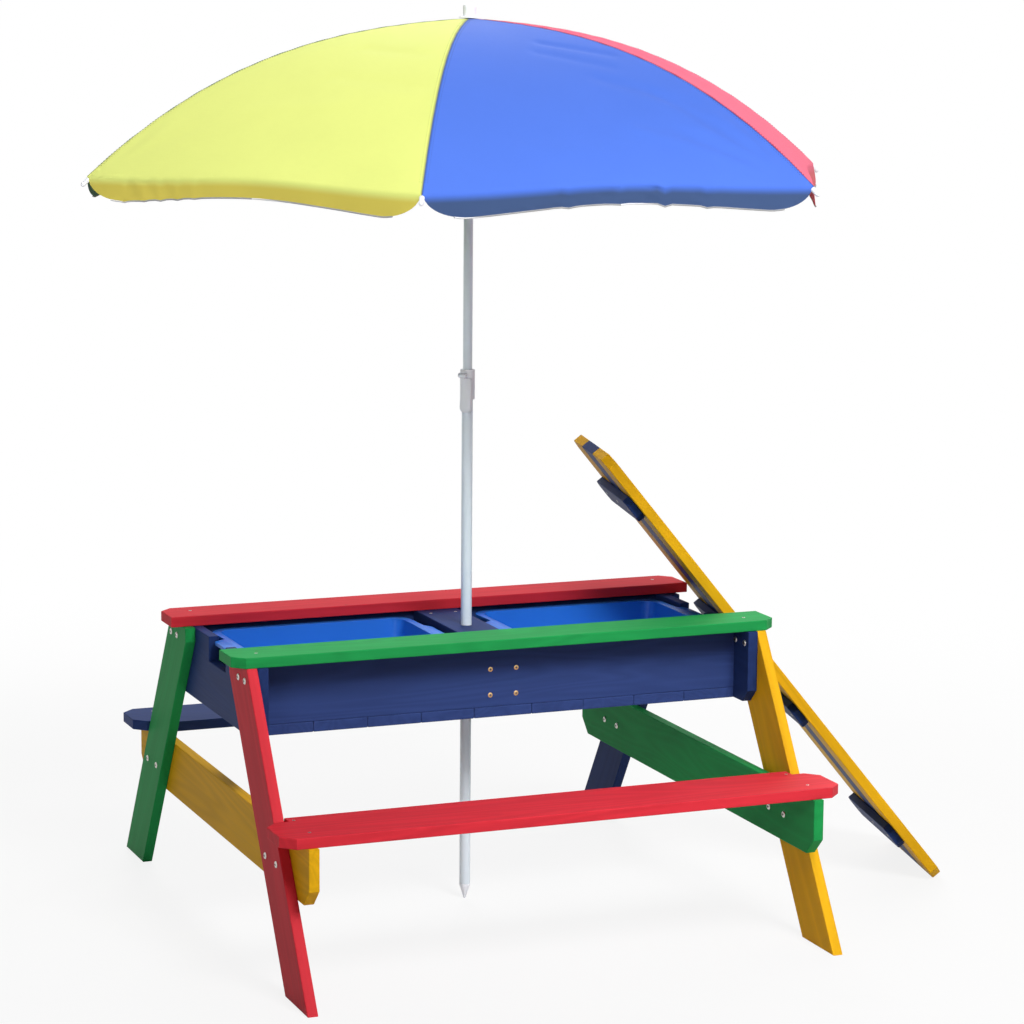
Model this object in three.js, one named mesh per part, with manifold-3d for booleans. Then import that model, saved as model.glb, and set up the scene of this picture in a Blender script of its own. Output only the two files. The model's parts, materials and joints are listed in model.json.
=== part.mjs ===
// A children's picnic table: two benches, a sunken box with two play tubs under a lift-off lid,
// and a folding six-panel parasol that stands through the middle of the table.
// Lengths are millimetres. X runs along the table, Y points away from the viewer, Z is up.
// The origin is on the floor, on the parasol's axis.
import * as THREE from "three";
import { mergeVertices } from "three/addons/utils/BufferGeometryUtils.js";
import Module from "manifold-3d";

const wasm = await Module();
wasm.setup();

// Table boards
const BOARD = 18;
const BOARD_EASE = 1.5;
const EASE_STEPS = 2;
const TABLE_LENGTH = 980;
const TABLE_HEIGHT = 510;
const TABLE_OPENING = 284;
const RAIL_WIDTH = 84;
const RAIL_CORNER = 20;

// Legs
const LEG_INSET = 21;
const LEG_WIDTH = 113.6;
const FOOT_REACH = 535;
const LEG_TOP_INSET = 14;

// Benches and the cross members that carry them
const BENCH_OVERRUN = 1;
const BENCH_HEIGHT = 274;
const BENCH_WIDTH = 130;
const BENCH_CORNER = 22;
const BENCH_NOTCH_DEPTH = 23;
const BENCH_LEG_GAP = 3;
const BENCH_END_GAP = 1;
const CROSS_WIDTH = 97;
const CROSS_OVERRUN = 5;
const CROSS_CORNER = 28;

// Sunken box
const BOX_DEPTH = 126;
const END_PANEL_REACH = 231;
const END_PANEL_CORNER = 22;
const END_NOTCH_WIDTH = 96;
const END_NOTCH_DEPTH = 43;
const LONG_PANEL_REACH = 175;
const MIDDLE_SLAT_WIDTH = 104;
const SIDE_SLATS = 4;
const SLAT_GAP = 1;
const DIVIDER_SPACING = 47;
const CENTRE_PLANK_WIDTH = 78;
const POLE_PLAY = 0.75;

// Play tubs
const TUB_INNER_END = 62;
const TUB_END_GAP = 8;
const TUB_WIDTH = 277;
const TUB_RIM_HEIGHT = 101;
const TUB_WALL = 2.4;
const TUB_RIM = 11;
const TUB_RIM_DROP = 6;
const TUB_TAPER = 9;
const TUB_CORNER = 26;
const TUB_CORNER_STEPS = 5;
const TUB_LIP_WIDTH = 84;
const TUB_LIP_CORNER = 10;
const TUB_OUTER_LIP = 30;
const TUB_INNER_LIP = 12;

// Lift-off lid, leaning on the right end panel with its lower end on the floor
const LID_PLANK_WIDTH = 92.6;
const LID_PLANK_GAP = 1;
const LID_OVERRUN = 8;
const LID_CORNER = 18;
const LID_HOLE = 24;
const LID_LEAN = 51.2;
const LID_TURN = 12;
const LID_FOOT_OUT = 360.9;
const LID_FOOT_Y = -198;
const BATTEN_THICKNESS = 14;
const BATTEN_WIDTH = 48;
const BATTEN_LENGTH = 252;
const BATTEN_CORNER = 12;
const BATTEN_END_INSET = 84;
const BATTEN_MIDDLE_OFFSET = 96;

// Parasol pole
const POLE_OUTER = 19;
const POLE_WALL = 1.2;
const POLE_PLAY_INSIDE = 0.3;
const UPPER_POLE_WALL = 1.2;
const UPPER_POLE_OVERLAP = 160;
const SPIKE_LENGTH = 27;
const SPIKE_TIP = 4;
const SPIKE_PLUG = 30;
const CLAMP_TOP = 938.5;
const CLAMP_HEIGHT = 51.5;
const CLAMP_OUTER = 25.3;
const CLAMP_LIP = 7;
const CLAMP_SLIT_WIDTH = 2.4;
const CLAMP_SLIT_HEIGHT = 20;
const LEVER_PIVOT_DROP = 9.5;
const LEVER_PIVOT_RADIUS = 14.6;
const LEVER_HEAD = 7.6;
const LEVER_WIDTH = 9;
const LEVER_LENGTH = 64;
const LEVER_THICKNESS = 3.4;
const LEVER_EAR = 2.4;
const LEVER_EAR_RADIUS = 4.2;
const PIN = 2.4;
const PIN_PLAY = 0.3;

// Canopy and its folding frame
const CANOPY_RADIUS = 674;
const CANOPY_TOP = 1534.5;
const CANOPY_DROP = 253.5;
const CANOPY_TURN = 2.8;
const CLOTH = 1.2;
const SEAM_GAP = 0.4;
const VALANCE_END_DEPTH = 38;
const VALANCE_MIDDLE_DEPTH = 31;
const RIB_WIDTH = 4;
const RIB_HEIGHT = 4.5;
const RIB_DROP = 3.8;
const RIB_SLOPE_START = 30;
const RIB_EYE = 6.4;
const CAP_DIAMETER = 8.5;
const CAP_LENGTH = 18;
const CAP_START = 1.3;
const CROWN_HUB_DIAMETER = 34;
const CROWN_HUB_HEIGHT = 20.5;
const CROWN_HUB_DROP = 4;
const CROWN_FLANGE_DIAMETER = 36;
const CROWN_FLANGE = 3.2;
const CROWN_NECK_DIAMETER = 16;
const FINIAL_DIAMETER = 22.5;
const FINIAL_HEIGHT = 20;
const FINIAL_ROUND = 5;
const CROWN_SEAT_DROP = 9.5;
const RIB_PIVOT_RADIUS = 13.5;
const RIB_PIVOT_DROP = 10.5;
const HINGE_WALL = 1.6;
const RUNNER_DROP = 244.5;
const RUNNER_RING_DIAMETER = 34;
const RUNNER_RING = 15;
const RUNNER_SLEEVE_DIAMETER = 22;
const RUNNER_SLEEVE = 20;
const RUNNER_GRIP_DIAMETER = 26;
const RUNNER_GRIP = 5;
const STRETCHER_THICKNESS = 2.5;
const STRETCHER_WIDTH = 5;
const STRETCHER_REACH = 250;
const STRETCHER_EYE = 6;
const RIVET_DIAMETER = 5;
const RIVET_HEAD = 1.2;
const RIVET_SINK = 0.3;

// Shares and counts
const CANOPY_PANELS = 6;
const LEVER_STEPS = 2.5;
const BOW_LINEAR_SHARE = 0.18;
const BOW_POWER_SHARE = 2.6;
const VALANCE_COLUMN_SHARES = [0, 0.012, 0.03, 0.06, 0.1, 0.25, 0.5];
const VALANCE_ROUND_SHARE = 0.1;
const CLOTH_ROWS = 10;
const VALANCE_ROWS = 2;
const RIB_STEPS = 10;
const ROUND = 24;
const SMALL_ROUND = 12;
const ARC_STEPS = 6;

// Running room between two pieces, and how far a cutting shape runs past what it cuts
const GAP = 0.3;
const SLIDE_GAP = 0.4;
const OVERRUN = 5;

// Vertices closer than this are one
const WELD = 1e-3;

// Levels and reaches that several pieces share
const railBottom = TABLE_HEIGHT - BOARD;
const railInner = TABLE_OPENING / 2;
const railOuter = railInner + RAIL_WIDTH;
const legOuterFace = TABLE_LENGTH / 2 - LEG_INSET;
const legInnerFace = legOuterFace - BOARD;
const boxEnd = legInnerFace - BOARD;
const boxBottom = railBottom - BOX_DEPTH;
const slatTop = boxBottom + BOARD;
const longPanelInner = LONG_PANEL_REACH - BOARD;
const benchBottom = BENCH_HEIGHT - BOARD;
const legLean = (FOOT_REACH - railOuter) / railBottom;
const benchNotch = FOOT_REACH - legLean * benchBottom + BENCH_LEG_GAP;
const benchInner = benchNotch - BENCH_NOTCH_DEPTH;
const benchOuter = benchInner + BENCH_WIDTH;
const poleRadius = POLE_OUTER / 2;
const poleHole = poleRadius + POLE_PLAY;
const upperPoleRadius = poleRadius - POLE_WALL - POLE_PLAY_INSIDE;
const clampTopInside = CLAMP_TOP - CLAMP_LIP;
const lidLength = TABLE_LENGTH + 2 * LID_OVERRUN;
const runnerHeight = CANOPY_TOP - RUNNER_DROP;

const deg = THREE.MathUtils.degToRad;

// The exported part
const part = new THREE.Group();
part.name = "picnic_table";

function finish(colour, roughness, metalness = 0) {
  return new THREE.MeshStandardMaterial({ color: colour, roughness, metalness });
}

const PAINT = {
  red: () => finish(0xc92a2f, 0.45),
  green: () => finish(0x2f9a52, 0.45),
  yellow: () => finish(0xd9a92c, 0.45),
  navy: () => finish(0x26396b, 0.45),
  bench: () => finish(0x5a6898, 0.45),
  tub: () => finish(0x2d6fe0, 0.3),
  steel: () => finish(0xc4c8cc, 0.3, 0.2),
  white: () => finish(0xe8eaec, 0.4),
  clothYellow: () => finish(0xdfe07a, 0.9),
  clothBlue: () => finish(0x3d63c8, 0.9),
  clothRed: () => finish(0xe84a66, 0.9),
  clothGreen: () => finish(0x1f7a50, 0.9),
};

// Adds a named piece to the part, or to a group of it
function add(name, geometry, material, group = part) {
  const mesh = new THREE.Mesh(geometry, material);
  mesh.name = name;
  group.add(mesh);
  return mesh;
}

// Booleans
function toSolid(geometry) {
  const bare = geometry.index ? geometry.toNonIndexed() : geometry.clone();
  for (const name of Object.keys(bare.attributes)) {
    if (name !== "position") bare.deleteAttribute(name);
  }
  const merged = mergeVertices(bare, WELD);
  return new wasm.Manifold(
    new wasm.Mesh({
      numProp: 3,
      vertProperties: merged.attributes.position.array,
      triVerts: new Uint32Array(merged.index.array),
    }),
  );
}

function toGeometry(solid) {
  const mesh = solid.getMesh();
  const points = new Float32Array(mesh.numVert * 3);
  for (let i = 0; i < mesh.numVert; i++) {
    points.set(mesh.vertProperties.subarray(i * mesh.numProp, i * mesh.numProp + 3), i * 3);
  }
  return new THREE.BufferGeometry()
    .setAttribute("position", new THREE.BufferAttribute(points, 3))
    .setIndex(new THREE.BufferAttribute(mesh.triVerts, 1));
}

function join(...geometries) {
  return toGeometry(geometries.map(toSolid).reduce((whole, piece) => whole.add(piece)));
}

function cut(geometry, ...tools) {
  return toGeometry(
    tools.map(toSolid).reduce((left, tool) => left.subtract(tool), toSolid(geometry)),
  );
}

// Outlines
function shapeOf(points) {
  return new THREE.Shape(points.map(([x, y]) => new THREE.Vector2(x, y)));
}

function roundHole(x, y, radius, steps) {
  const hole = new THREE.Path();
  for (let i = 0; i < steps; i++) {
    const turn = (-2 * Math.PI * i) / steps;
    const place = [x + radius * Math.cos(turn), y + radius * Math.sin(turn)];
    if (i === 0) hole.moveTo(...place);
    else hole.lineTo(...place);
  }
  return hole;
}

// A rectangle about the origin whose four corners are cut off
function clippedRectangle(halfLength, halfWidth, corner) {
  return [
    [halfLength, -halfWidth + corner],
    [halfLength, halfWidth - corner],
    [halfLength - corner, halfWidth],
    [-halfLength + corner, halfWidth],
    [-halfLength, halfWidth - corner],
    [-halfLength, -halfWidth + corner],
    [-halfLength + corner, -halfWidth],
    [halfLength - corner, -halfWidth],
  ];
}

// A board with eased edges: its outline is drawn flat and given a thickness upwards
function board(shape, thickness = BOARD) {
  return new THREE.ExtrudeGeometry(shape, {
    depth: thickness - 2 * BOARD_EASE,
    bevelEnabled: true,
    bevelThickness: BOARD_EASE,
    bevelSize: BOARD_EASE,
    bevelOffset: -BOARD_EASE,
    bevelSegments: EASE_STEPS,
  }).translate(0, 0, BOARD_EASE);
}

// A rectangular board between two corners
function slab(low, high) {
  const shape = shapeOf([
    [low[0], low[1]],
    [high[0], low[1]],
    [high[0], high[1]],
    [low[0], high[1]],
  ]);
  return board(shape, high[2] - low[2]).translate(0, 0, low[2]);
}

// Stands an outline drawn as (y, z) upright, with its thickness along X
function standAcross(geometry, x) {
  const basis = new THREE.Matrix4().makeBasis(
    new THREE.Vector3(0, 1, 0),
    new THREE.Vector3(0, 0, 1),
    new THREE.Vector3(1, 0, 0),
  );
  return geometry.applyMatrix4(basis).translate(x, 0, 0);
}

// Stands an outline drawn as (radius, z) upright in the X-Z plane, centred on it
function standRadial(shape, thickness, sideways = 0) {
  const options = { depth: thickness, bevelEnabled: false, curveSegments: ARC_STEPS };
  const flat = new THREE.ExtrudeGeometry(shape, options);
  const basis = new THREE.Matrix4().makeBasis(
    new THREE.Vector3(1, 0, 0),
    new THREE.Vector3(0, 0, 1),
    new THREE.Vector3(0, -1, 0),
  );
  return flat.applyMatrix4(basis).translate(0, thickness / 2 + sideways, 0);
}

// Revolves a closed (radius, height) profile about Z
function turned(profile, steps) {
  const closed = [...profile];
  const [first, last] = [profile[0], profile[profile.length - 1]];
  if (first[0] !== 0 || last[0] !== 0) closed.push(first);
  const points = closed.map(([r, z]) => new THREE.Vector2(r, z));
  return new THREE.LatheGeometry(points, steps).rotateX(Math.PI / 2);
}

function box(lengths, centre) {
  return new THREE.BoxGeometry(...lengths).translate(...centre);
}

function tube(outer, inner, bottom, top, steps) {
  return turned(
    [
      [outer, bottom],
      [outer, top],
      [inner, top],
      [inner, bottom],
    ],
    steps,
  );
}

// A pin that lies tangentially across the X-Z plane
function crossPin(radius, height, diameter, length, sideways = 0) {
  return new THREE.CylinderGeometry(diameter / 2, diameter / 2, length, SMALL_ROUND).translate(
    radius,
    sideways,
    height,
  );
}

// Table top rails
function addRails() {
  const outline = (side) => {
    const inner = side * railInner;
    const outer = side * railOuter;
    const reach = TABLE_LENGTH / 2;
    const points = [
      [-reach, inner],
      [reach, inner],
      [reach, outer - side * RAIL_CORNER],
      [reach - RAIL_CORNER, outer],
      [-reach + RAIL_CORNER, outer],
      [-reach, outer - side * RAIL_CORNER],
    ];
    return shapeOf(side > 0 ? points : points.reverse());
  };
  add("rail_front", board(outline(-1)).translate(0, 0, railBottom), PAINT.green());
  add("rail_back", board(outline(1)).translate(0, 0, railBottom), PAINT.red());
}

// Slanted legs, flat on the floor, with an upright inner edge near the top
function addLegs() {
  const footInner = FOOT_REACH - LEG_WIDTH;
  const topInner = railInner - LEG_TOP_INSET;
  const straightFrom = (footInner - topInner) / legLean;
  const outline = (side) => {
    const points = [
      [side * footInner, 0],
      [side * FOOT_REACH, 0],
      [side * railOuter, railBottom],
      [side * topInner, railBottom],
      [side * topInner, straightFrom],
    ];
    return shapeOf(side > 0 ? points : points.reverse());
  };
  const legs = [
    ["leg_front_left", -1, -1, PAINT.red()],
    ["leg_front_right", 1, -1, PAINT.yellow()],
    ["leg_back_left", -1, 1, PAINT.green()],
    ["leg_back_right", 1, 1, PAINT.navy()],
  ];
  for (const [name, end, side, paint] of legs) {
    const face = end > 0 ? legInnerFace : -legOuterFace;
    add(name, standAcross(board(outline(side)), face), paint);
  }
}

// Benches, notched where the legs pass behind them
function addBenches() {
  const notchInner = legInnerFace - BENCH_LEG_GAP;
  const notchOuter = legOuterFace + BENCH_END_GAP;
  const reach = TABLE_LENGTH / 2 + BENCH_OVERRUN;
  const shoulder = reach - notchOuter;
  const half = [
    [notchInner, benchInner],
    [notchInner, benchNotch],
    [notchOuter, benchNotch],
    [reach, benchNotch + shoulder],
    [reach, benchOuter - BENCH_CORNER],
    [reach - BENCH_CORNER, benchOuter],
  ];
  const outline = (side) => {
    const right = half.map(([x, y]) => [x, side * y]);
    const left = half.map(([x, y]) => [-x, side * y]).reverse();
    const points = [...right, ...left];
    return shapeOf(side > 0 ? points : points.reverse());
  };
  add("bench_front", board(outline(-1)).translate(0, 0, benchBottom), PAINT.red());
  add("bench_back", board(outline(1)).translate(0, 0, benchBottom), PAINT.bench());
}

// Cross members under the benches, with their lower corners cut off
function addCrossMembers() {
  const reach = benchOuter + CROSS_OVERRUN;
  const bottom = benchBottom - CROSS_WIDTH;
  const outline = shapeOf([
    [-reach, benchBottom],
    [-reach, bottom + CROSS_CORNER],
    [-reach + CROSS_CORNER, bottom],
    [reach - CROSS_CORNER, bottom],
    [reach, bottom + CROSS_CORNER],
    [reach, benchBottom],
  ]);
  add("cross_member_left", standAcross(board(outline), -legInnerFace), PAINT.yellow());
  add("cross_member_right", standAcross(board(outline), boxEnd), PAINT.green());
}

// The sunken box: end panels with hand notches, long panels and a slatted floor
function addBox() {
  const endOutline = shapeOf([
    [-END_PANEL_REACH + END_PANEL_CORNER, boxBottom],
    [END_PANEL_REACH - END_PANEL_CORNER, boxBottom],
    [END_PANEL_REACH, boxBottom + END_PANEL_CORNER],
    [END_PANEL_REACH, railBottom],
    [END_NOTCH_WIDTH / 2, railBottom],
    [END_NOTCH_WIDTH / 2, railBottom - END_NOTCH_DEPTH],
    [-END_NOTCH_WIDTH / 2, railBottom - END_NOTCH_DEPTH],
    [-END_NOTCH_WIDTH / 2, railBottom],
    [-END_PANEL_REACH, railBottom],
    [-END_PANEL_REACH, boxBottom + END_PANEL_CORNER],
  ]);
  add("end_panel_left", standAcross(board(endOutline), -legInnerFace), PAINT.navy());
  add("end_panel_right", standAcross(board(endOutline), boxEnd), PAINT.navy());
  for (const [name, low] of [
    ["long_panel_front", -LONG_PANEL_REACH],
    ["long_panel_back", longPanelInner],
  ]) {
    const panel = slab([-boxEnd, low, slatTop], [boxEnd, low + BOARD, railBottom]);
    add(name, panel, PAINT.navy());
  }
  addSlats();
  addDivider();
}

// A rectangular board lying flat, with the pole's hole through its middle
function drilledSlab(halfLength, halfWidth, bottom) {
  const shape = shapeOf([
    [-halfLength, -halfWidth],
    [halfLength, -halfWidth],
    [halfLength, halfWidth],
    [-halfLength, halfWidth],
  ]);
  shape.holes.push(roundHole(0, 0, poleHole, ROUND));
  return board(shape).translate(0, 0, bottom);
}

function addSlats() {
  const middle = MIDDLE_SLAT_WIDTH / 2;
  const pitch = (boxEnd - middle) / SIDE_SLATS;
  let number = 1;
  const lay = (low, high) => {
    const slat = slab([low, -LONG_PANEL_REACH, boxBottom], [high, LONG_PANEL_REACH, slatTop]);
    add(`slat_${number}`, slat, PAINT.navy());
    number += 1;
  };
  for (let i = 0; i < SIDE_SLATS; i++) {
    lay(-boxEnd + i * pitch, -boxEnd + (i + 1) * pitch - SLAT_GAP);
  }
  add(`slat_${number}`, drilledSlab(middle, LONG_PANEL_REACH, boxBottom), PAINT.navy());
  number += 1;
  for (let i = 0; i < SIDE_SLATS; i++) {
    lay(middle + i * pitch + SLAT_GAP, middle + (i + 1) * pitch);
  }
}

// Two dividers and the plank that bridges them, with the pole's hole
function addDivider() {
  const dividerTop = railBottom - BOARD;
  for (const [name, side] of [
    ["divider_left", -1],
    ["divider_right", 1],
  ]) {
    const centre = (side * DIVIDER_SPACING) / 2;
    const low = [centre - BOARD / 2, -longPanelInner, slatTop];
    const high = [centre + BOARD / 2, longPanelInner, dividerTop];
    add(name, slab(low, high), PAINT.navy());
  }
  const plank = drilledSlab(CENTRE_PLANK_WIDTH / 2, longPanelInner, dividerTop);
  add("centre_plank", plank, PAINT.navy());
}

// Points of a level rectangle with round corners
function roundedRing(halfLength, halfWidth, corner, centreX, height) {
  const ring = [];
  for (let quarter = 0; quarter < 4; quarter++) {
    const signX = quarter === 0 || quarter === 3 ? 1 : -1;
    const signY = quarter < 2 ? 1 : -1;
    for (let i = 0; i <= TUB_CORNER_STEPS; i++) {
      const turn = (Math.PI / 2) * (quarter + i / TUB_CORNER_STEPS);
      ring.push([
        centreX + signX * (halfLength - corner) + corner * Math.cos(turn),
        signY * (halfWidth - corner) + corner * Math.sin(turn),
        height,
      ]);
    }
  }
  return ring;
}

// Skins a stack of rings with equal point counts and closes both ends with flat caps
function loft(rings) {
  const count = rings[0].length;
  const triangles = [];
  const put = (...corners) => corners.forEach((corner) => triangles.push(...corner));
  for (let level = 0; level + 1 < rings.length; level++) {
    const [lower, upper] = [rings[level], rings[level + 1]];
    for (let i = 0; i < count; i++) {
      const next = (i + 1) % count;
      put(lower[i], lower[next], upper[next]);
      put(lower[i], upper[next], upper[i]);
    }
  }
  const [start, end] = [rings[0], rings[rings.length - 1]];
  for (let i = 1; i + 1 < count; i++) {
    put(start[0], start[i + 1], start[i]);
    put(end[0], end[i], end[i + 1]);
  }
  const positions = new THREE.Float32BufferAttribute(triangles, 3);
  return new THREE.BufferGeometry().setAttribute("position", positions);
}

// A lip that carries a tub's rim outwards as a handle, with round outer corners
function tubLip(from, reach, top) {
  const away = Math.sign(reach);
  const half = TUB_LIP_WIDTH / 2;
  const end = from + reach;
  const shape = new THREE.Shape();
  shape.moveTo(from, -half);
  shape.lineTo(end - away * TUB_LIP_CORNER, -half);
  shape.quadraticCurveTo(end, -half, end, -half + TUB_LIP_CORNER);
  shape.lineTo(end, half - TUB_LIP_CORNER);
  shape.quadraticCurveTo(end, half, end - away * TUB_LIP_CORNER, half);
  shape.lineTo(from, half);
  const plate = { depth: TUB_WALL, bevelEnabled: false, curveSegments: TUB_CORNER_STEPS };
  return new THREE.ExtrudeGeometry(shape, plate).translate(0, 0, top - TUB_WALL);
}

// Moulded play tubs: tapered walls, a turned-down rim and a handle lip at each end
function addTubs() {
  const outerEnd = boxEnd - TUB_END_GAP;
  const halfLength = (outerEnd - TUB_INNER_END) / 2;
  const halfWidth = TUB_WIDTH / 2;
  const centre = TUB_INNER_END + halfLength;
  const floor = slatTop;
  const top = floor + TUB_RIM_HEIGHT;
  const ring = (inset, height) =>
    roundedRing(halfLength - inset, halfWidth - inset, TUB_CORNER, centre, height);
  const wallAtTop = TUB_RIM;
  const wallAtFoot = TUB_RIM + TUB_TAPER;
  const rings = [
    ring(wallAtFoot + TUB_WALL, floor),
    ring(wallAtFoot, floor + TUB_WALL),
    ring(wallAtTop, top - TUB_WALL),
    ring(TUB_WALL, top - TUB_WALL),
    ring(TUB_WALL, top - TUB_RIM_DROP),
    ring(0, top - TUB_RIM_DROP),
    ring(0, top),
    ring(wallAtTop + TUB_WALL, top),
    ring(wallAtFoot + TUB_WALL, floor + 2 * TUB_WALL),
    ring(wallAtFoot + 2 * TUB_WALL, floor + TUB_WALL),
  ];
  const tub = join(
    loft(rings),
    tubLip(outerEnd - TUB_RIM, TUB_RIM + TUB_OUTER_LIP, top),
    tubLip(TUB_INNER_END + TUB_RIM, -TUB_RIM - TUB_INNER_LIP, top),
  );
  add("tub_right", tub, PAINT.tub());
  add("tub_left", tub.clone().rotateZ(Math.PI), PAINT.tub());
}

// The lid, drawn with X down its length to zero at its foot, Y across it and Z out of its face
function addLid() {
  const lean = deg(LID_LEAN);
  const turn = deg(-LID_TURN);
  const lid = new THREE.Group();
  lid.rotation.set(0, lean, turn, "ZYX");
  lid.position.set(TABLE_LENGTH / 2 + LID_FOOT_OUT, LID_FOOT_Y, BOARD * Math.cos(lean));
  part.add(lid);

  const pitch = LID_PLANK_WIDTH + LID_PLANK_GAP;
  const planks = [
    ["lid_plank_front", 0, PAINT.yellow()],
    ["lid_plank_middle", 1, PAINT.navy()],
    ["lid_plank_back", 2, PAINT.yellow()],
  ];
  for (const [name, place, paint] of planks) {
    const low = place * pitch;
    const high = low + LID_PLANK_WIDTH;
    const front = place === 0 ? LID_CORNER : 0;
    const back = place === planks.length - 1 ? LID_CORNER : 0;
    const points = [
      [-lidLength + front, low],
      [-front, low],
      [0, low + front],
      [0, high - back],
      [-back, high],
      [-lidLength + back, high],
      [-lidLength, high - back],
      [-lidLength, low + front],
    ];
    const distinct = points.filter(
      ([x, y], i) => i === 0 || x !== points[i - 1][0] || y !== points[i - 1][1],
    );
    const shape = shapeOf(distinct);
    if (place === 1) {
      const middle = (low + high) / 2;
      shape.holes.push(roundHole(-lidLength / 2, middle, LID_HOLE / 2, ROUND));
    }
    add(name, board(shape).translate(0, 0, -BOARD), paint, lid);
  }

  const width = planks.length * pitch - LID_PLANK_GAP;
  const endCentre = lidLength / 2 - BATTEN_END_INSET - BATTEN_WIDTH / 2;
  const centres = [-endCentre, -BATTEN_MIDDLE_OFFSET, BATTEN_MIDDLE_OFFSET, endCentre];
  centres.forEach((centre, i) => {
    const outline = clippedRectangle(BATTEN_WIDTH / 2, BATTEN_LENGTH / 2, BATTEN_CORNER);
    const batten = board(shapeOf(outline), BATTEN_THICKNESS).translate(
      -lidLength / 2 + centre,
      width / 2,
      -BOARD - GAP - BATTEN_THICKNESS,
    );
    add(`lid_batten_${i + 1}`, batten, PAINT.navy(), lid);
  });
}

// Lower pole with its ground spike
function addLowerPole() {
  const inner = poleRadius - POLE_WALL;
  const pole = tube(poleRadius, inner, SPIKE_LENGTH, clampTopInside - GAP, ROUND);
  add("pole_lower", pole, PAINT.steel());
  const plug = inner - GAP;
  const spike = turned(
    [
      [0, 0],
      [SPIKE_TIP / 2, 0],
      [poleRadius, SPIKE_LENGTH - GAP],
      [plug, SPIKE_LENGTH - GAP],
      [plug, SPIKE_LENGTH + SPIKE_PLUG],
      [0, SPIKE_LENGTH + SPIKE_PLUG],
    ],
    ROUND,
  );
  add("pole_spike", spike, PAINT.white());
}

// The clamp that holds the upper pole, with ears and a pin for its lever
function addClamp() {
  const outer = CLAMP_OUTER / 2;
  const overPole = poleRadius + GAP;
  const overUpper = upperPoleRadius + GAP;
  const collar = turned(
    [
      [outer, CLAMP_TOP - CLAMP_HEIGHT],
      [outer, CLAMP_TOP],
      [overUpper, CLAMP_TOP],
      [overUpper, clampTopInside],
      [overPole, clampTopInside],
      [overPole, CLAMP_TOP - CLAMP_HEIGHT],
    ],
    ROUND,
  );
  const pivot = CLAMP_TOP - LEVER_PIVOT_DROP;
  const head = LEVER_HEAD / 2;
  const leverRoom = LEVER_WIDTH + 2 * SLIDE_GAP;
  const side = (leverRoom + LEVER_EAR) / 2;
  const earRoot = overPole + (outer - overPole) / 2;
  const ear = new THREE.Shape();
  ear.moveTo(earRoot, pivot - LEVER_EAR_RADIUS);
  ear.absarc(LEVER_PIVOT_RADIUS, pivot, LEVER_EAR_RADIUS, -Math.PI / 2, Math.PI / 2, false);
  ear.lineTo(earRoot, pivot + LEVER_EAR_RADIUS);
  const pocketHeight = 2 * (head + SLIDE_GAP);
  const pocket = box(
    [CLAMP_OUTER, leverRoom, pocketHeight],
    [LEVER_PIVOT_RADIUS - head - SLIDE_GAP + CLAMP_OUTER / 2, 0, pivot],
  );
  const slit = box(
    [CLAMP_OUTER, CLAMP_SLIT_WIDTH, CLAMP_SLIT_HEIGHT + OVERRUN],
    [CLAMP_OUTER / 2 + upperPoleRadius, 0, CLAMP_TOP - (CLAMP_SLIT_HEIGHT - OVERRUN) / 2],
  ).rotateZ(deg(-CANOPY_STEP));
  const body = cut(collar, pocket, slit);
  const clamp = join(
    body,
    standRadial(ear, LEVER_EAR, side),
    standRadial(ear, LEVER_EAR, -side),
    crossPin(LEVER_PIVOT_RADIUS, pivot, PIN, leverRoom + LEVER_EAR),
  );
  add("clamp_collar", clamp.rotateZ(leverTurn), PAINT.steel());

  const lever = new THREE.Shape();
  const armInner = outer + SLIDE_GAP;
  const armOuter = armInner + LEVER_THICKNESS;
  const tip = pivot - LEVER_LENGTH;
  const neckTurn = (face) => -Math.acos((face - LEVER_PIVOT_RADIUS) / head);
  lever.moveTo(armInner + LEVER_THICKNESS / 2, tip);
  lever.lineTo(armOuter, tip + 2 * LEVER_THICKNESS);
  lever.absarc(
    LEVER_PIVOT_RADIUS,
    pivot,
    head,
    neckTurn(armOuter),
    neckTurn(armInner) + 2 * Math.PI,
    false,
  );
  lever.lineTo(armInner, tip + LEVER_THICKNESS);
  lever.holes.push(roundHole(LEVER_PIVOT_RADIUS, pivot, PIN / 2 + PIN_PLAY, SMALL_ROUND));
  add("clamp_lever", standRadial(lever, LEVER_WIDTH).rotateZ(leverTurn), PAINT.steel());
}

// The angle between two ribs, and the lever's direction, midway between two of them
const CANOPY_STEP = 360 / CANOPY_PANELS;
const leverTurn = deg(CANOPY_TURN - LEVER_STEPS * CANOPY_STEP);

// Height of the cloth over a rib, and its slope, at a distance from the axis
function clothHeight(radius) {
  const share = radius / CANOPY_RADIUS;
  const bow = BOW_LINEAR_SHARE * share + (1 - BOW_LINEAR_SHARE) * share ** BOW_POWER_SHARE;
  return CANOPY_TOP - CANOPY_DROP * bow;
}

function clothSlope(radius) {
  const share = radius / CANOPY_RADIUS;
  const rise =
    BOW_LINEAR_SHARE + (1 - BOW_LINEAR_SHARE) * BOW_POWER_SHARE * share ** (BOW_POWER_SHARE - 1);
  return (-CANOPY_DROP * rise) / CANOPY_RADIUS;
}

// The point a given depth under the cloth, square to it
function underCloth(radius, depth) {
  const slope = clothSlope(radius);
  const length = Math.hypot(1, slope);
  return [radius + (depth * slope) / length, clothHeight(radius) - depth / length];
}

const ribPivotHeight = CANOPY_TOP - RIB_PIVOT_DROP;

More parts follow.
